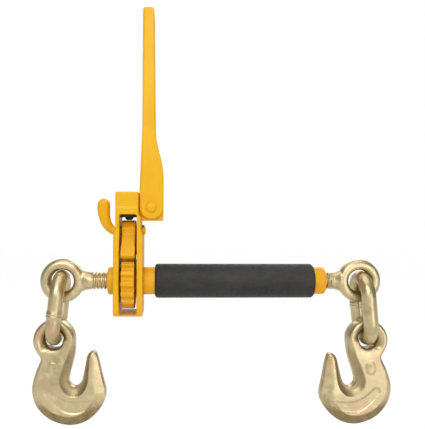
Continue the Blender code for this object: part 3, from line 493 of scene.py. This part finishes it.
barrelValues = {
    "endRound": 0.0022, "roundSteps": 6, "tapped": 0.0104, "hollow": 0.0120, "tappedRun": 0.021, "steps": 72,
}
sleeveValues = {"endRound": 0.0034, "roundSteps": 8, "bore": 0.016175, "steps": 72}


def turnedEnds(node, bend, steps):
    low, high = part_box(node)
    half = (high[0] - low[0]) / 2
    outer = (high[2] - low[2]) / 2
    top = []
    for i in range(steps + 1):
        angle = math.pi / 2 * i / steps
        top.append((outer - bend + bend * math.sin(angle), half - bend + bend * math.cos(angle)))
    middle = Vector(((low[0] + high[0]) / 2, 0, 0))
    return top + [(r, -h) for r, h in reversed(top)], half, middle


def barrelPiece():
    v = barrelValues
    profile, half, middle = turnedEnds("barrel_tube", v["endRound"], v["roundSteps"])
    inner = half - v["tappedRun"]
    profile += [(v["tapped"], -half), (v["tapped"], -inner), (v["hollow"], -inner), (v["hollow"], inner)]
    profile += [(v["tapped"], inner), (v["tapped"], half)]
    spun("turned_barrel", profile, middle, v["steps"], workingYellow, "barrel", "yellow_paint", ["barrel_tube"])


def sleevePiece():
    v = sleeveValues
    profile, half, middle = turnedEnds("grip_sleeve", v["endRound"], v["roundSteps"])
    profile += [(v["bore"], -half), (v["bore"], half)]
    spun("rubber_sleeve", profile, middle, v["steps"], rubber, "barrel", "black_rubber", ["grip_sleeve"])


barrelPiece()
sleevePiece()
print("barrel turned")


# coil springs behind the two plungers

springValues = {
    "pawl_spring": {"name": "pawl_coil", "wire": 0.0012, "axis": 2},
    "detent_spring": {"name": "detent_coil", "wire": 0.0009, "axis": 0},
    "curls": 5, "perCurl": 40, "around": 12,
}


def springPiece(node):
    v = springValues[node]
    low, high = (Vector(c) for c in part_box(node))
    axis = v["axis"]
    one, two = [k for k in (0, 1, 2) if k != axis]
    wire = v["wire"] / 2
    mean = max(high[one] - low[one], high[two] - low[two]) / 2 - wire
    middle = (low + high) / 2
    rise = high[axis] - low[axis] - 2 * wire
    steps = springValues["curls"] * springValues["perCurl"]
    spine = []
    for i in range(steps + 1):
        angle = math.tau * i / springValues["perCurl"]
        spot = Vector((0, 0, 0))
        spot[one] = middle[one] + mean * math.cos(angle)
        spot[two] = middle[two] + mean * math.sin(angle)
        spot[axis] = low[axis] + wire + rise * i / steps
        spine.append(spot)
    sections = []
    for i, spot in enumerate(spine):
        run = (spine[min(i + 1, steps)] - spine[max(i - 1, 0)]).normalized()
        out = spot - middle
        out[axis] = 0
        out.normalize()
        side = run.cross(out)
        ring = []
        for k in range(springValues["around"]):
            roll = math.tau * k / springValues["around"]
            ring.append((out * math.cos(roll) + side * math.sin(roll)) * wire)
        sections.append(ring)
    sweep(v["name"], spine, sections, False, steel, bodyOf(node), "dark_steel", [node])


springPiece("pawl_spring")
springPiece("detent_spring")
print("springs wound")


# chain links: round wire with a weld on one leg

linkValues = {
    "wire": 0.0083, "bow": 0.0203, "pitch": 0.0710, "around": 28, "perBow": 20, "perLeg": 44,
    "lean": {"left": math.radians(6), "right": math.radians(5)},
    "weld": {"left": (-1, -0.0405), "right": (1, -0.0340)},  # leg's side, height under the link's top
    "weldSwell": 0.0010, "weldWidth": 0.0034, "weldGroove": 0.0007, "grooveWidth": 0.0007,
}


def linkPiece(side):
    v = linkValues
    out = -1 if side == "left" else 1
    lean = v["lean"][side]
    bottom = places[f"{side}_hook_swing"]
    top = bottom + Vector((-out * v["pitch"] * math.sin(lean), 0, v["pitch"] * math.cos(lean)))
    turn = Matrix.Rotation(-out * lean, 3, "Y")
    leg = v["pitch"] - 2 * v["bow"]
    path = []  # across, up, how the wire's outside looks
    for i in range(v["perBow"]):
        angle = -math.pi / 2 + math.pi * i / v["perBow"]
        path.append((v["bow"] * math.sin(angle), v["bow"] * (math.cos(angle) - 1), angle))
    for i in range(v["perLeg"]):
        path.append((v["bow"], -v["bow"] - leg * i / v["perLeg"], math.pi / 2))
    for i in range(v["perBow"]):
        angle = math.pi / 2 + math.pi * i / v["perBow"]
        path.append((v["bow"] * math.sin(angle), v["bow"] * (math.cos(angle) + 1) - v["pitch"], angle))
    for i in range(v["perLeg"]):
        path.append((-v["bow"], v["bow"] - v["pitch"] + leg * i / v["perLeg"], 1.5 * math.pi))
    weldSide, weldHeight = v["weld"][side]
    spine = []
    sections = []
    for across, up, angle in path:
        radius = v["wire"]
        if across * weldSide > v["bow"] * 0.9:
            gap = abs(up - weldHeight)
            radius += v["weldSwell"] * math.exp(-(gap / v["weldWidth"]) ** 2)
            radius -= v["weldGroove"] * math.exp(-(gap / v["grooveWidth"]) ** 2)
        spine.append(turn @ Vector((0, across, up)) + top)
        outside = Vector((0, math.sin(angle), math.cos(angle)))
        ring = []
        for k in range(v["around"]):
            roll = math.tau * k / v["around"]
            ring.append(turn @ (outside * math.cos(roll) + Vector((1, 0, 0)) * math.sin(roll)) * radius)
        sections.append(ring)
    sweep(
        f"{side}_welded_link", spine, sections, True, chromate, f"{side}_chain_link", "yellow_chromate",
        [f"{side}_link"], crease["worn"],
    )


for side in ("left", "right"):
    linkPiece(side)
print("links welded")


# eyebolts: forged eye and neck, then a rolled thread

eyeValues = {
    "ringMiddle": 0.0192, "ringDeep": 0.0062, "ringThick": 0.00775, "boxy": 0.82,
    "ringSteps": 64, "ringTurns": 24,
    "neckStart": 0.0182, "neckEnd": 0.0326, "neckAround": 36, "neckSteps": 4,
    # along the neck, how far from the ring's depth to the screw's, height against the screw's radius
    "neck": (
        (0.00, -0.16, 1.46), (0.24, 0.20, 1.32), (0.50, 0.53, 1.14),
        (0.76, 0.82, 1.03), (1.00, 0.98, 0.98), (1.22, 0.94, 0.94),
    ),
    "cell": 0.0008, "passes": 8, "keep": 0.6,
    "screwRadius": 0.0100, "pitch": 0.0254 / 6, "threadDepth": 0.0016, "crest": 0.12, "flank": 0.72,
    "overlap": 0.0012, "runOut": 1.4, "tipBevel": 0.0012, "around": 44, "perPitch": 12,
}


def eyeMesh(centre, towards):
    v = eyeValues
    points = []
    for i in range(v["ringSteps"]):
        angle = math.tau * i / v["ringSteps"]
        for k in range(v["ringTurns"]):
            roll = math.tau * k / v["ringTurns"]
            inOut = math.copysign(abs(math.cos(roll)) ** v["boxy"], math.cos(roll))
            frontBack = math.copysign(abs(math.sin(roll)) ** v["boxy"], math.sin(roll))
            reach = v["ringMiddle"] + v["ringDeep"] * inOut
            across = centre.x + reach * math.cos(angle)
            points.append((across, v["ringThick"] * frontBack, reach * math.sin(angle)))
    ring = newMesh("scratch", points, ringFaces(v["ringTurns"], v["ringSteps"], True))
    rows = throughPoints(v["neck"], v["neckSteps"], False)
    count = v["neckAround"]
    points = []
    for along, depth, height in rows:
        x = v["neckStart"] + (v["neckEnd"] - v["neckStart"]) * along
        deep = v["ringDeep"] + (v["screwRadius"] - v["ringDeep"]) * depth
        tall = v["screwRadius"] * height
        for k in range(count):
            angle = math.tau * k / count
            points.append((centre.x + towards * x, deep * math.cos(angle), tall * math.sin(angle)))
    faces = ringFaces(count, len(rows), False)
    faces += [tuple(range(count)), tuple(range((len(rows) - 1) * count, len(rows) * count))]
    neck = newMesh("scratch", points, faces)
    return softened(ring, v["cell"], v["passes"], v["keep"], joined=[neck])


def screwPiece(name, start, end, hand, body):
    v = eyeValues
    rings = int(abs(end - start) / v["pitch"] * v["perPitch"])
    spine = []
    sections = []
    for r in range(rings + 1):
        x = start + (end - start) * r / rings
        fromEye = abs(x - start)
        fromTip = abs(end - x)
        depth = v["threadDepth"]
        bevel = 0.0
        if fromTip < fromEye:
            bevel = max(v["tipBevel"] - fromTip, 0.0)
        else:
            depth *= min(fromEye / (v["runOut"] * v["pitch"]), 1.0)
        ring = []
        for k in range(v["around"]):
            angle = math.tau * k / v["around"]
            phase = (angle * hand / math.tau - x / v["pitch"]) % 1.0
            ridge = abs(phase - 0.5) * 2  # 0 on the crest, 1 in the root
            tooth = min(max((ridge - v["crest"]) / v["flank"], 0.0), 1.0)
            radius = v["screwRadius"] - depth * tooth * tooth * (3 - 2 * tooth) - bevel
            ring.append(Vector((0, radius * math.cos(angle), radius * math.sin(angle))))
        spine.append(Vector((x, 0, 0)))
        sections.append(ring)
    sweep(name, spine, sections, False, chromate, body, "yellow_chromate", sharp=crease["forged"])


for side, towards, hand in (("left", 1, 1), ("right", -1, -1)):
    low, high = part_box(f"{side}_eyebolt")
    outer, tip = (low[0], high[0]) if side == "left" else (high[0], low[0])
    centre = Vector((outer + towards * (eyeValues["ringMiddle"] + eyeValues["ringDeep"]), 0, 0))
    body = f"{side}_screw"
    mesh = eyeMesh(centre, towards)
    eyebolt = [f"{side}_eyebolt"]
    showPiece(f"{side}_forged_eye", mesh, chromate, body, "yellow_chromate", eyebolt, crease["worn"])
    start = centre.x + towards * (eyeValues["neckEnd"] - eyeValues["overlap"])
    screwPiece(f"{side}_rolled_screw", start, tip, hand, body)
print("eyebolts made")


# grab hooks: a height over the hook's flat outline, the same on both sides

hookValues = {
    "face": 0.01025, "edge": 0.0050, "edgeWall": 0.62, "wallInset": 0.00012, "lipInset": 0.0006,
    "slack": 0.0018, "swing": {"left": 0.0, "right": math.radians(3.5)},
    "eyeRadius": 0.0238, "eyeBevel": 0.0052, "eyeTurn": (math.radians(-128), math.radians(84)), "eyeSteps": 9,
    # inward, up, width of the bevel, its form: 1 hollow, 0 a straight slope, -1 rolled over
    "rim": (
        (0.0236, -0.0160, 0.0076, 0.6), (0.0181, -0.0391, 0.0100, 1.0), (0.0174, -0.0494, 0.0105, 1.0),
        (0.0247, -0.0544, 0.0105, 1.0), (0.0316, -0.0478, 0.0078, 1.0), (0.0350, -0.0334, 0.0054, 0.9),
        (0.0383, -0.0180, 0.0038, 0.4), (0.0450, -0.0136, 0.0040, 0.0), (0.0497, -0.0191, 0.0068, 0.0),
        (0.0556, -0.0422, 0.0130, 0.0), (0.0600, -0.0631, 0.0150, 0.0), (0.0527, -0.0803, 0.0134, 0.0),
        (0.0376, -0.0938, 0.0120, 0.0), (0.0179, -0.0982, 0.0116, 0.0), (-0.0043, -0.0916, 0.0110, 0.0),
        (-0.0198, -0.0760, 0.0092, 0.0), (-0.0250, -0.0568, 0.0070, -0.3), (-0.0211, -0.0375, 0.0052, -0.6),
        (-0.0153, -0.0223, 0.0046, -0.8),
    ),
    "rimSteps": 9,
    # bevels aim a little past the face and meet it softly; a slope is partly rolled, a hollow bends by a power
    "past": 1.04, "faceSoft": 0.0005, "roll": 0.28, "coveBend": 1.9,
    # the point is thinner: where that begins and the run it takes
    "pointFace": 0.0062, "pointEdge": 0.25, "pointIn": (0.030, 0.008), "pointUp": (-0.066, 0.012),
    "taperUp": (-0.062, 0.046),
    # the hole is flared, with a wall on the side that the link's legs never swing over
    "holeRadius": 0.0104, "flare": 0.0068, "mouthReach": 0.014, "mouthSoft": 0.0022,
    "wallTowards": math.radians(155), "wallFrom": (0.15, 0.40), "wallShare": 0.72, "wallRound": 0.0042,
    # a raised oval, and a sunk crescent whose middle is given as inward, up, half width
    "pad": {"centre": (-0.0003, -0.0318), "half": (0.0050, 0.0072), "depth": -0.0006},
    "crescent": (
        (-0.0058, -0.0600, 0.0040), (0.0055, -0.0702, 0.0054), (0.0200, -0.0768, 0.0066),
        (0.0340, -0.0757, 0.0056), (0.0462, -0.0708, 0.0026),
    ),
    "crescentDepth": 0.0011, "panelEdge": 0.0010,
    # brown tone of the hollow bevel (partly dark patina, partly painted shade), painted shade in the hole's
    # mouth and on the lower slope, and where each fades out
    "coveTone": 0.74, "coveFade": (1.03, 0.10), "mouthShade": 0.8, "mouthFade": (0.0030, 0.0024),
    "underShade": 1.0, "underFade": (1.02, 0.10), "underFrom": (-0.066, 0.016),
    # points of the mesh: rows along the bevel, the flare and the panels, a grid, and the gaps kept between them
    "bevelRows": (1.0, 0.93, 0.84, 0.70, 0.56, 0.42, 0.28, 0.16, 1.07), "crowded": 0.94,
    "flareRows": (0.15, 0.3, 0.45, 0.6, 0.75, 0.9, 1.05, 1.22), "panelRows": (0.0, -0.0007, 0.0007),
    "holeSteps": 60, "flareSteps": 64, "cell": 0.0014, "rowPitch": 0.866,
    "rowGap": 0.00052, "gridGap": 0.0009, "rimGap": 0.0009, "holeGap": 0.0003,
}


def lowerOf(a, b, soft):
    return np.minimum(a, b) - np.maximum(soft - np.abs(a - b), 0) ** 2 / (4 * soft)


def eased(t):
    t = np.clip(t, 0, 1)
    return t * t * (3 - 2 * t)


def hookRim():
    v = hookValues
    start, end = v["eyeTurn"]
    rim = []
    for i in range(v["eyeSteps"] + 1):
        angle = start + (end - start) * i / v["eyeSteps"]
        rim.append((v["eyeRadius"] * math.sin(angle), v["eyeRadius"] * math.cos(angle), v["eyeBevel"], -1.0))
    return throughPoints(rim + list(v["rim"]), v["rimSteps"], True)


def padDistance(spots):
    v = hookValues["pad"]
    reach = v["half"][1] - v["half"][0]
    x = spots[:, 0] - v["centre"][0]
    y = spots[:, 1] - v["centre"][1]
    y = y - np.clip(y, -reach, reach)
    return np.hypot(x, y) - v["half"][0]


def crescentDistance(spots):
    line = throughPoints(hookValues["crescent"], 14, False)
    gaps = np.hypot(spots[:, None, 0] - line[None, :, 0], spots[:, None, 1] - line[None, :, 1])
    return (gaps - line[None, :, 2]).min(axis=1)


def panelOutline(offset):
    pad = hookValues["pad"]
    around, endSteps = 44, 14
    x, y = pad["centre"]
    wide = pad["half"][0] + offset
    reach = pad["half"][1] - pad["half"][0]
    outline = []
    for i in range(around):
        angle = math.tau * i / around
        up = reach if math.cos(angle) > 0 else -reach
        outline.append((x + wide * math.sin(angle), y + up + wide * math.cos(angle)))
    for i in range(-3, 4):
        for side in (-1, 1):
            outline.append((x + side * wide, y + reach * i / 4))
    line = throughPoints(hookValues["crescent"], 16, False)
    run = np.gradient(line[:, :2], axis=0)
    run /= np.hypot(run[:, 0], run[:, 1])[:, None]
    away = np.stack([-run[:, 1], run[:, 0]], axis=1)
    for side in (-1, 1):
        outline += [tuple(p) for p in line[:, :2] + side * away * (line[:, 2:] + offset)]
    for end, along, first in ((line[0], run[0], math.pi / 2), (line[-1], run[-1], -math.pi / 2)):
        heading = math.atan2(along[1], along[0])
        radius = end[2] + offset
        for i in range(1, endSteps):
            angle = heading + first + math.pi * i / endSteps
            outline.append((end[0] + radius * math.cos(angle), end[1] + radius * math.sin(angle)))
    return np.array(outline)


def rimRuns(spots, rim):
    for a, b in zip(rim, np.roll(rim, -1, axis=0)):
        run = b[:2] - a[:2]
        along = np.clip(((spots - a[:2]) @ run) / (run @ run), 0, 1)
        gap = np.hypot(*(spots - a[:2] - along[:, None] * run).T)
        yield gap, a[2] + (b[2] - a[2]) * along, a[3] + (b[3] - a[3]) * along


def rimDistance(spots, rim):
    return np.min([gap for gap, width, form in rimRuns(spots, rim)], axis=0)


def hookHeight(spots, rim):
    v = hookValues
    x, y = spots[:, 0], spots[:, 1]
    point = eased((x - v["pointIn"][0]) / v["pointIn"][1]) * eased((y - v["pointUp"][0]) / v["pointUp"][1])
    taper = np.clip((y - v["taperUp"][0]) / v["taperUp"][1], 0, 1) * point
    face = v["face"] + (v["pointFace"] - v["face"]) * taper
    edge = v["edge"] * (1 - v["pointEdge"] * taper)
    bevel = face * v["past"]
    patinaAndShade = np.zeros(len(spots))
    bevelShare = np.full(len(spots), 2.0)
    for gap, width, form in rimRuns(spots, rim):
        share = gap / width
        t = np.clip(share, 0, 1)
        cove = np.maximum(form, 0)
        rolled = np.sqrt(np.maximum(1 - (1 - t) ** 2, 0))
        slope = (1 - v["roll"]) * t + v["roll"] * rolled
        rise = slope + (t ** v["coveBend"] - slope) * cove + (rolled - slope) * np.maximum(-form, 0)
        bevel = np.minimum(bevel, edge + (face * v["past"] - edge) * rise)
        # a hollow bevel turns brown: partly dark patina, partly painted shade
        fade = eased((v["coveFade"][0] - share) / v["coveFade"][1])
        patinaAndShade = np.maximum(patinaAndShade, cove * v["coveTone"] * fade)
        bevelShare = np.minimum(bevelShare, share)
    height = lowerOf(bevel, face, v["faceSoft"])
    far = np.hypot(x, y)
    out = np.maximum(far - v["holeRadius"], 0)
    away = (x * math.sin(v["wallTowards"]) + y * math.cos(v["wallTowards"])) / far
    under = eased((away - v["wallFrom"][0]) / v["wallFrom"][1])
    flared = v["face"] * np.sqrt(out / v["flare"])
    walled = v["face"] * (v["wallShare"] + (1 - v["wallShare"]) * np.sqrt(out / v["wallRound"]))
    mouth = flared + (walled - flared) * under
    height = np.where(out < v["mouthReach"], lowerOf(mouth, height, v["mouthSoft"]), height)
    height = np.maximum(height, 0.0)
    # painted shade in the hole's mouth
    patinaAndShade = np.maximum(patinaAndShade, eased((v["mouthFade"][0] - out) / v["mouthFade"][1]) * v["mouthShade"])
    # painted shade on the lower slope, darker on the downward side
    low = eased((v["underFrom"][0] - y) / v["underFrom"][1])
    fade = eased((v["underFade"][0] - bevelShare) / v["underFade"][1])
    patinaAndShade = np.maximum(patinaAndShade, low * fade * v["underShade"])
    height -= v["pad"]["depth"] * eased((v["panelEdge"] / 2 - padDistance(spots)) / v["panelEdge"])
    height -= v["crescentDepth"] * eased((v["panelEdge"] / 2 - crescentDistance(spots)) / v["panelEdge"])
    return height, patinaAndShade


def circle(radius, steps):
    angles = [math.tau * i / steps for i in range(steps)]
    return [(radius * math.sin(angle), radius * math.cos(angle)) for angle in angles]


def hookSpots(rim):
    v = hookValues
    run = np.roll(rim[:, :2], -1, axis=0) - np.roll(rim[:, :2], 1, axis=0)
    run /= np.hypot(run[:, 0], run[:, 1])[:, None]
    inward = np.stack([run[:, 1], -run[:, 0]], axis=1)
    lip = rim[:, :2] + inward * v["lipInset"]
    hole = circle(v["holeRadius"], v["holeSteps"])
    tries = []
    for share in v["bevelRows"]:
        spots = rim[:, :2] + inward * (rim[:, 2:3] * share)
        tries.append(spots[rimDistance(spots, rim) > rim[:, 2] * share * v["crowded"]])
    for share in v["flareRows"]:
        tries.append(np.array(circle(v["holeRadius"] + v["flare"] * share * share, v["flareSteps"])))
    tries += [panelOutline(offset) for offset in v["panelRows"]]
    low = rim[:, :2].min(axis=0)
    high = rim[:, :2].max(axis=0)
    rows = np.arange(low[1], high[1], v["cell"] * v["rowPitch"])
    for r, y in enumerate(rows):
        line = np.arange(low[0] + (r % 2) * v["cell"] / 2, high[0], v["cell"])
        tries.append(np.stack([line, np.full(len(line), y)], axis=1))
    kept = []
    taken = {}
    patch = 0.001  # spots are looked up by the patch they lie in

    def free(spot, least):
        cx, cy = (int(math.floor(c / patch)) for c in spot)
        for i in (-1, 0, 1):
            for k in (-1, 0, 1):
                for other in taken.get((cx + i, cy + k), ()):
                    if (spot[0] - other[0]) ** 2 + (spot[1] - other[1]) ** 2 < least * least:
                        return False
        taken.setdefault((cx, cy), []).append(spot)
        return True

    for spot in list(lip) + hole:
        free(tuple(spot), 0.0)
    for number, spots in enumerate(tries):
        if not len(spots):
            continue
        gap = rimDistance(spots, rim)
        inside = insideRim(spots, rim)
        out = np.hypot(spots[:, 0], spots[:, 1]) - v["holeRadius"]
        least = v["gridGap"] if number >= len(tries) - len(rows) else v["rowGap"]
        for spot, near, within, clear in zip(spots, gap, inside, out):
            if within and near > v["rimGap"] and clear > v["holeGap"] and free(tuple(spot), least):
                kept.append(tuple(spot))
    return lip, hole, kept, inward


def insideRim(spots, rim):
    x, y = spots[:, 0], spots[:, 1]
    inside = np.zeros(len(spots), dtype=bool)
    for i in range(len(rim)):
        ax, ay = rim[i, :2]
        bx, by = rim[(i + 1) % len(rim), :2]
        crosses = (ay > y) != (by > y)
        with np.errstate(divide="ignore", invalid="ignore"):
            at = (bx - ax) * (y - ay) / (by - ay) + ax
        inside ^= crosses & (x < at)
    return inside


def hookForm():
    v = hookValues
    rim = hookRim()
    lip, hole, kept, inward = hookSpots(rim)
    spots = [tuple(p) for p in lip] + hole + kept
    edges = [(i, (i + 1) % len(lip)) for i in range(len(lip))]
    edges += [(len(lip) + i, len(lip) + (i + 1) % len(hole)) for i in range(len(hole))]
    flat, _, triangles, _, _, _ = delaunay_2d_cdt([Vector(p) for p in spots], edges, [], 0, 1e-7)
    flat = np.array([tuple(p) for p in flat])
    middles = np.array([flat[list(t)].mean(axis=0) for t in triangles])
    within = insideRim(middles, np.column_stack([lip, rim[:, 2:]]))
    clear = ~insideRim(middles, np.array(hole))
    triangles = [t for t, a, b in zip(triangles, within, clear) if a and b]
    height, patinaAndShade = hookHeight(flat, rim)
    count = len(flat)
    points = [(p[0], -h, p[1]) for p, h in zip(flat, height)]
    points += [(p[0], h, p[1]) for p, h in zip(flat, height)]
    faces = [tuple(t) for t in triangles]
    faces += [tuple(count + i for i in t)[::-1] for t in triangles]
    around = len(lip)
    for i in range(len(hole)):
        k = (i + 1) % len(hole)
        faces.append((around + i, around + k, count + around + k, count + around + i))
    rings = [list(range(around))]
    wall = v["edge"] * v["edgeWall"]
    for level, inset in ((-wall, v["wallInset"]), (0.0, 0.0), (wall, v["wallInset"])):
        ring = []
        for p, n in zip(rim[:, :2], inward):
            ring.append(len(points))
            points.append((p[0] + n[0] * inset, level, p[1] + n[1] * inset))
        rings.append(ring)
    shades = list(patinaAndShade) + list(patinaAndShade) + [0.0] * (len(points) - 2 * count)
    rings.append([count + i for i in range(around)])
    for near, far in zip(rings, rings[1:]):
        for i in range(around):
            k = (i + 1) % around
            faces.append((near[i], near[k], far[k], far[i]))
    return points, faces, shades


hookPoints, hookFaces, hookShades = hookForm()
for side, mirror in (("left", 1), ("right", -1)):
    eye = places[f"{side}_hook_swing"] - Vector((0, 0, hookValues["slack"]))
    turn = Matrix.Rotation(hookValues["swing"][side], 3, "Y")
    flip = Matrix.Diagonal((mirror, mirror, 1))
    points = [flip @ (turn @ Vector(p)) + eye for p in hookPoints]
    addPiece(
        f"{side}_forged_hook", points, hookFaces, chromate, f"{side}_hook", "yellow_chromate",
        [f"{side}_grab_hook"], crease["forged"], patinaAndShade=hookShades,
    )
print("hooks made:", len(hookPoints), "points each")


# camera, light and floor

cameraValues = {
    "target": (-0.0319, 0.0, 0.0778), "azimuth": math.radians(-2.5), "distance": 0.614,
    "focal": 522.0, "frame": (425, 429), "axis": 190.0, "roll": math.radians(0.3),
}


def setCamera():
    v = cameraValues
    lens = bpy.data.cameras.new("product_camera")
    lens.sensor_fit = "AUTO"
    lens.sensor_width = 36.0
    side = max(v["frame"])
    lens.lens = lens.sensor_width * v["focal"] / side
    lens.shift_x = (v["frame"][0] / 2 - v["axis"]) / side
    lens.dof.use_dof = False
    eye = bpy.data.objects.new("product_camera", lens)
    bpy.context.scene.collection.objects.link(eye)
    target = Vector(v["target"])
    out = Vector((math.sin(v["azimuth"]), -math.cos(v["azimuth"]), 0))
    eye.location = target + out * v["distance"]
    look = (-out).to_track_quat("-Z", "Y").to_matrix().to_4x4()
    look = look @ Matrix.Rotation(v["roll"], 4, "Z")
    eye.rotation_euler = look.to_euler()
    bpy.context.scene.camera = eye


lampValues = {
    # place, aim, width, height, watts
    "front_softbox": ((-0.30, -1.20, 0.75), (0.0, 0.0, 0.05), 1.0, 0.7, 7.6),
    "top_softbox": ((0.05, -0.15, 1.30), (0.0, 0.0, 0.0), 1.6, 1.2, 7.0),
    "right_softbox": ((0.65, -1.10, -0.12), (0.10, 0.0, -0.05), 0.6, 0.7, 2.2),
    "back_softbox": ((0.35, 1.30, 0.80), (0.0, 0.0, 0.0), 1.0, 0.8, 5.0),
}


def setLights():
    for name, (place, aim, wide, tall, watts) in lampValues.items():
        data = bpy.data.lights.new(name, "AREA")
        data.shape = "RECTANGLE"
        data.size = wide
        data.size_y = tall
        data.energy = watts
        lamp = bpy.data.objects.new(name, data)
        lamp.location = place
        lamp.visible_camera = False
        lamp.rotation_euler = (Vector(aim) - Vector(place)).to_track_quat("-Z", "Y").to_euler()
        bpy.context.scene.collection.objects.link(lamp)


roomValues = {
    "ambient": 0.42, "mirrored": 0.95,  # plain light, and the room as metal shows it
    "cards": (0.10, 0.70, 1.0, 0.34), "upShare": 0.6, "back": (0.1, 0.9, 1.0, 0.62),
}


def setWorld():
    v = roomValues
    world = bpy.data.worlds.new("white_studio")
    bpy.context.scene.world = world
    world.use_nodes = True
    look = nodeLook(world.node_tree)
    camera = look.add("ShaderNodeLightPath", out="Is Camera Ray")
    through = look.add("ShaderNodeLightPath", out="Is Transmission Ray")
    shine = look.add("ShaderNodeLightPath", out="Is Glossy Ray")
    aim = look.add("ShaderNodeTexCoord", out="Generated")
    across, away, up = (look.add("ShaderNodeSeparateXYZ", None, {0: aim}, out=k) for k in ("X", "Y", "Z"))
    cards = look.spread(across * across + up * up * v["upShare"], *v["cards"])  # grey round a white front
    studio = look.blend((0, 0, 0), (1, 1, 1), cards * look.spread(away, *v["back"]))
    white = look.add("ShaderNodeBackground", None, {"Color": (1, 1, 1, 1), "Strength": 1.0})
    room = look.add("ShaderNodeBackground", None, {"Color": studio, "Strength": v["mirrored"]})
    ambient = look.add("ShaderNodeBackground", None, {"Color": (1, 1, 1, 1), "Strength": v["ambient"]})
    first = look.add("ShaderNodeMixShader", None, {0: shine, 1: ambient, 2: room})
    whole = look.add("ShaderNodeMixShader", None, {0: camera + through, 1: first, 2: white})
    look.tree.nodes.remove(look.tree.nodes["Background"])
    look.tree.links.new(whole.socket, look.tree.nodes["World Output"].inputs["Surface"])


floorValues = {
    "size": 6.0, "below": 0.22, "tone": (0.9, 0.9, 0.9, 1), "rough": 0.9,
    "seenWhite": 0.90, "shineWhite": 0.52, "glow": 1.062,  # the rest is lit by the lamps and keeps the shadow
}


def setFloor():
    v = floorValues
    size = v["size"]
    level = cadBox[0][2] - v["below"]
    points = [(-size, -size, level), (size, -size, level), (size, size, level), (-size, size, level)]
    mesh = bpy.data.meshes.new("studio_floor")
    mesh.from_pydata(points, [], [(0, 1, 2, 3)])
    floor = bpy.data.objects.new("studio_floor", mesh)
    bpy.context.scene.collection.objects.link(floor)
    look = finishLook("pale_floor", {"Base Color": v["tone"], "Roughness": v["rough"]})
    camera = look.add("ShaderNodeLightPath", out="Is Camera Ray")
    glossy = look.add("ShaderNodeLightPath", out="Is Glossy Ray")
    through = look.add("ShaderNodeLightPath", out="Is Transmission Ray")
    seen = (camera + through) * v["seenWhite"] + glossy * v["shineWhite"]
    glow = look.add("ShaderNodeEmission", None, {"Color": (1, 1, 1, 1), "Strength": v["glow"]})
    base = socketValue(look, look.shader.outputs[0])
    mixed = look.add("ShaderNodeMixShader", None, {0: seen, 1: base, 2: glow})
    look.tree.links.new(mixed.socket, look.tree.nodes["Material Output"].inputs["Surface"])
    mesh.materials.append(look.material)


setCamera()
setLights()
setWorld()
setFloor()
bpy.context.scene.view_settings.view_transform = "Standard"
print("studio set")
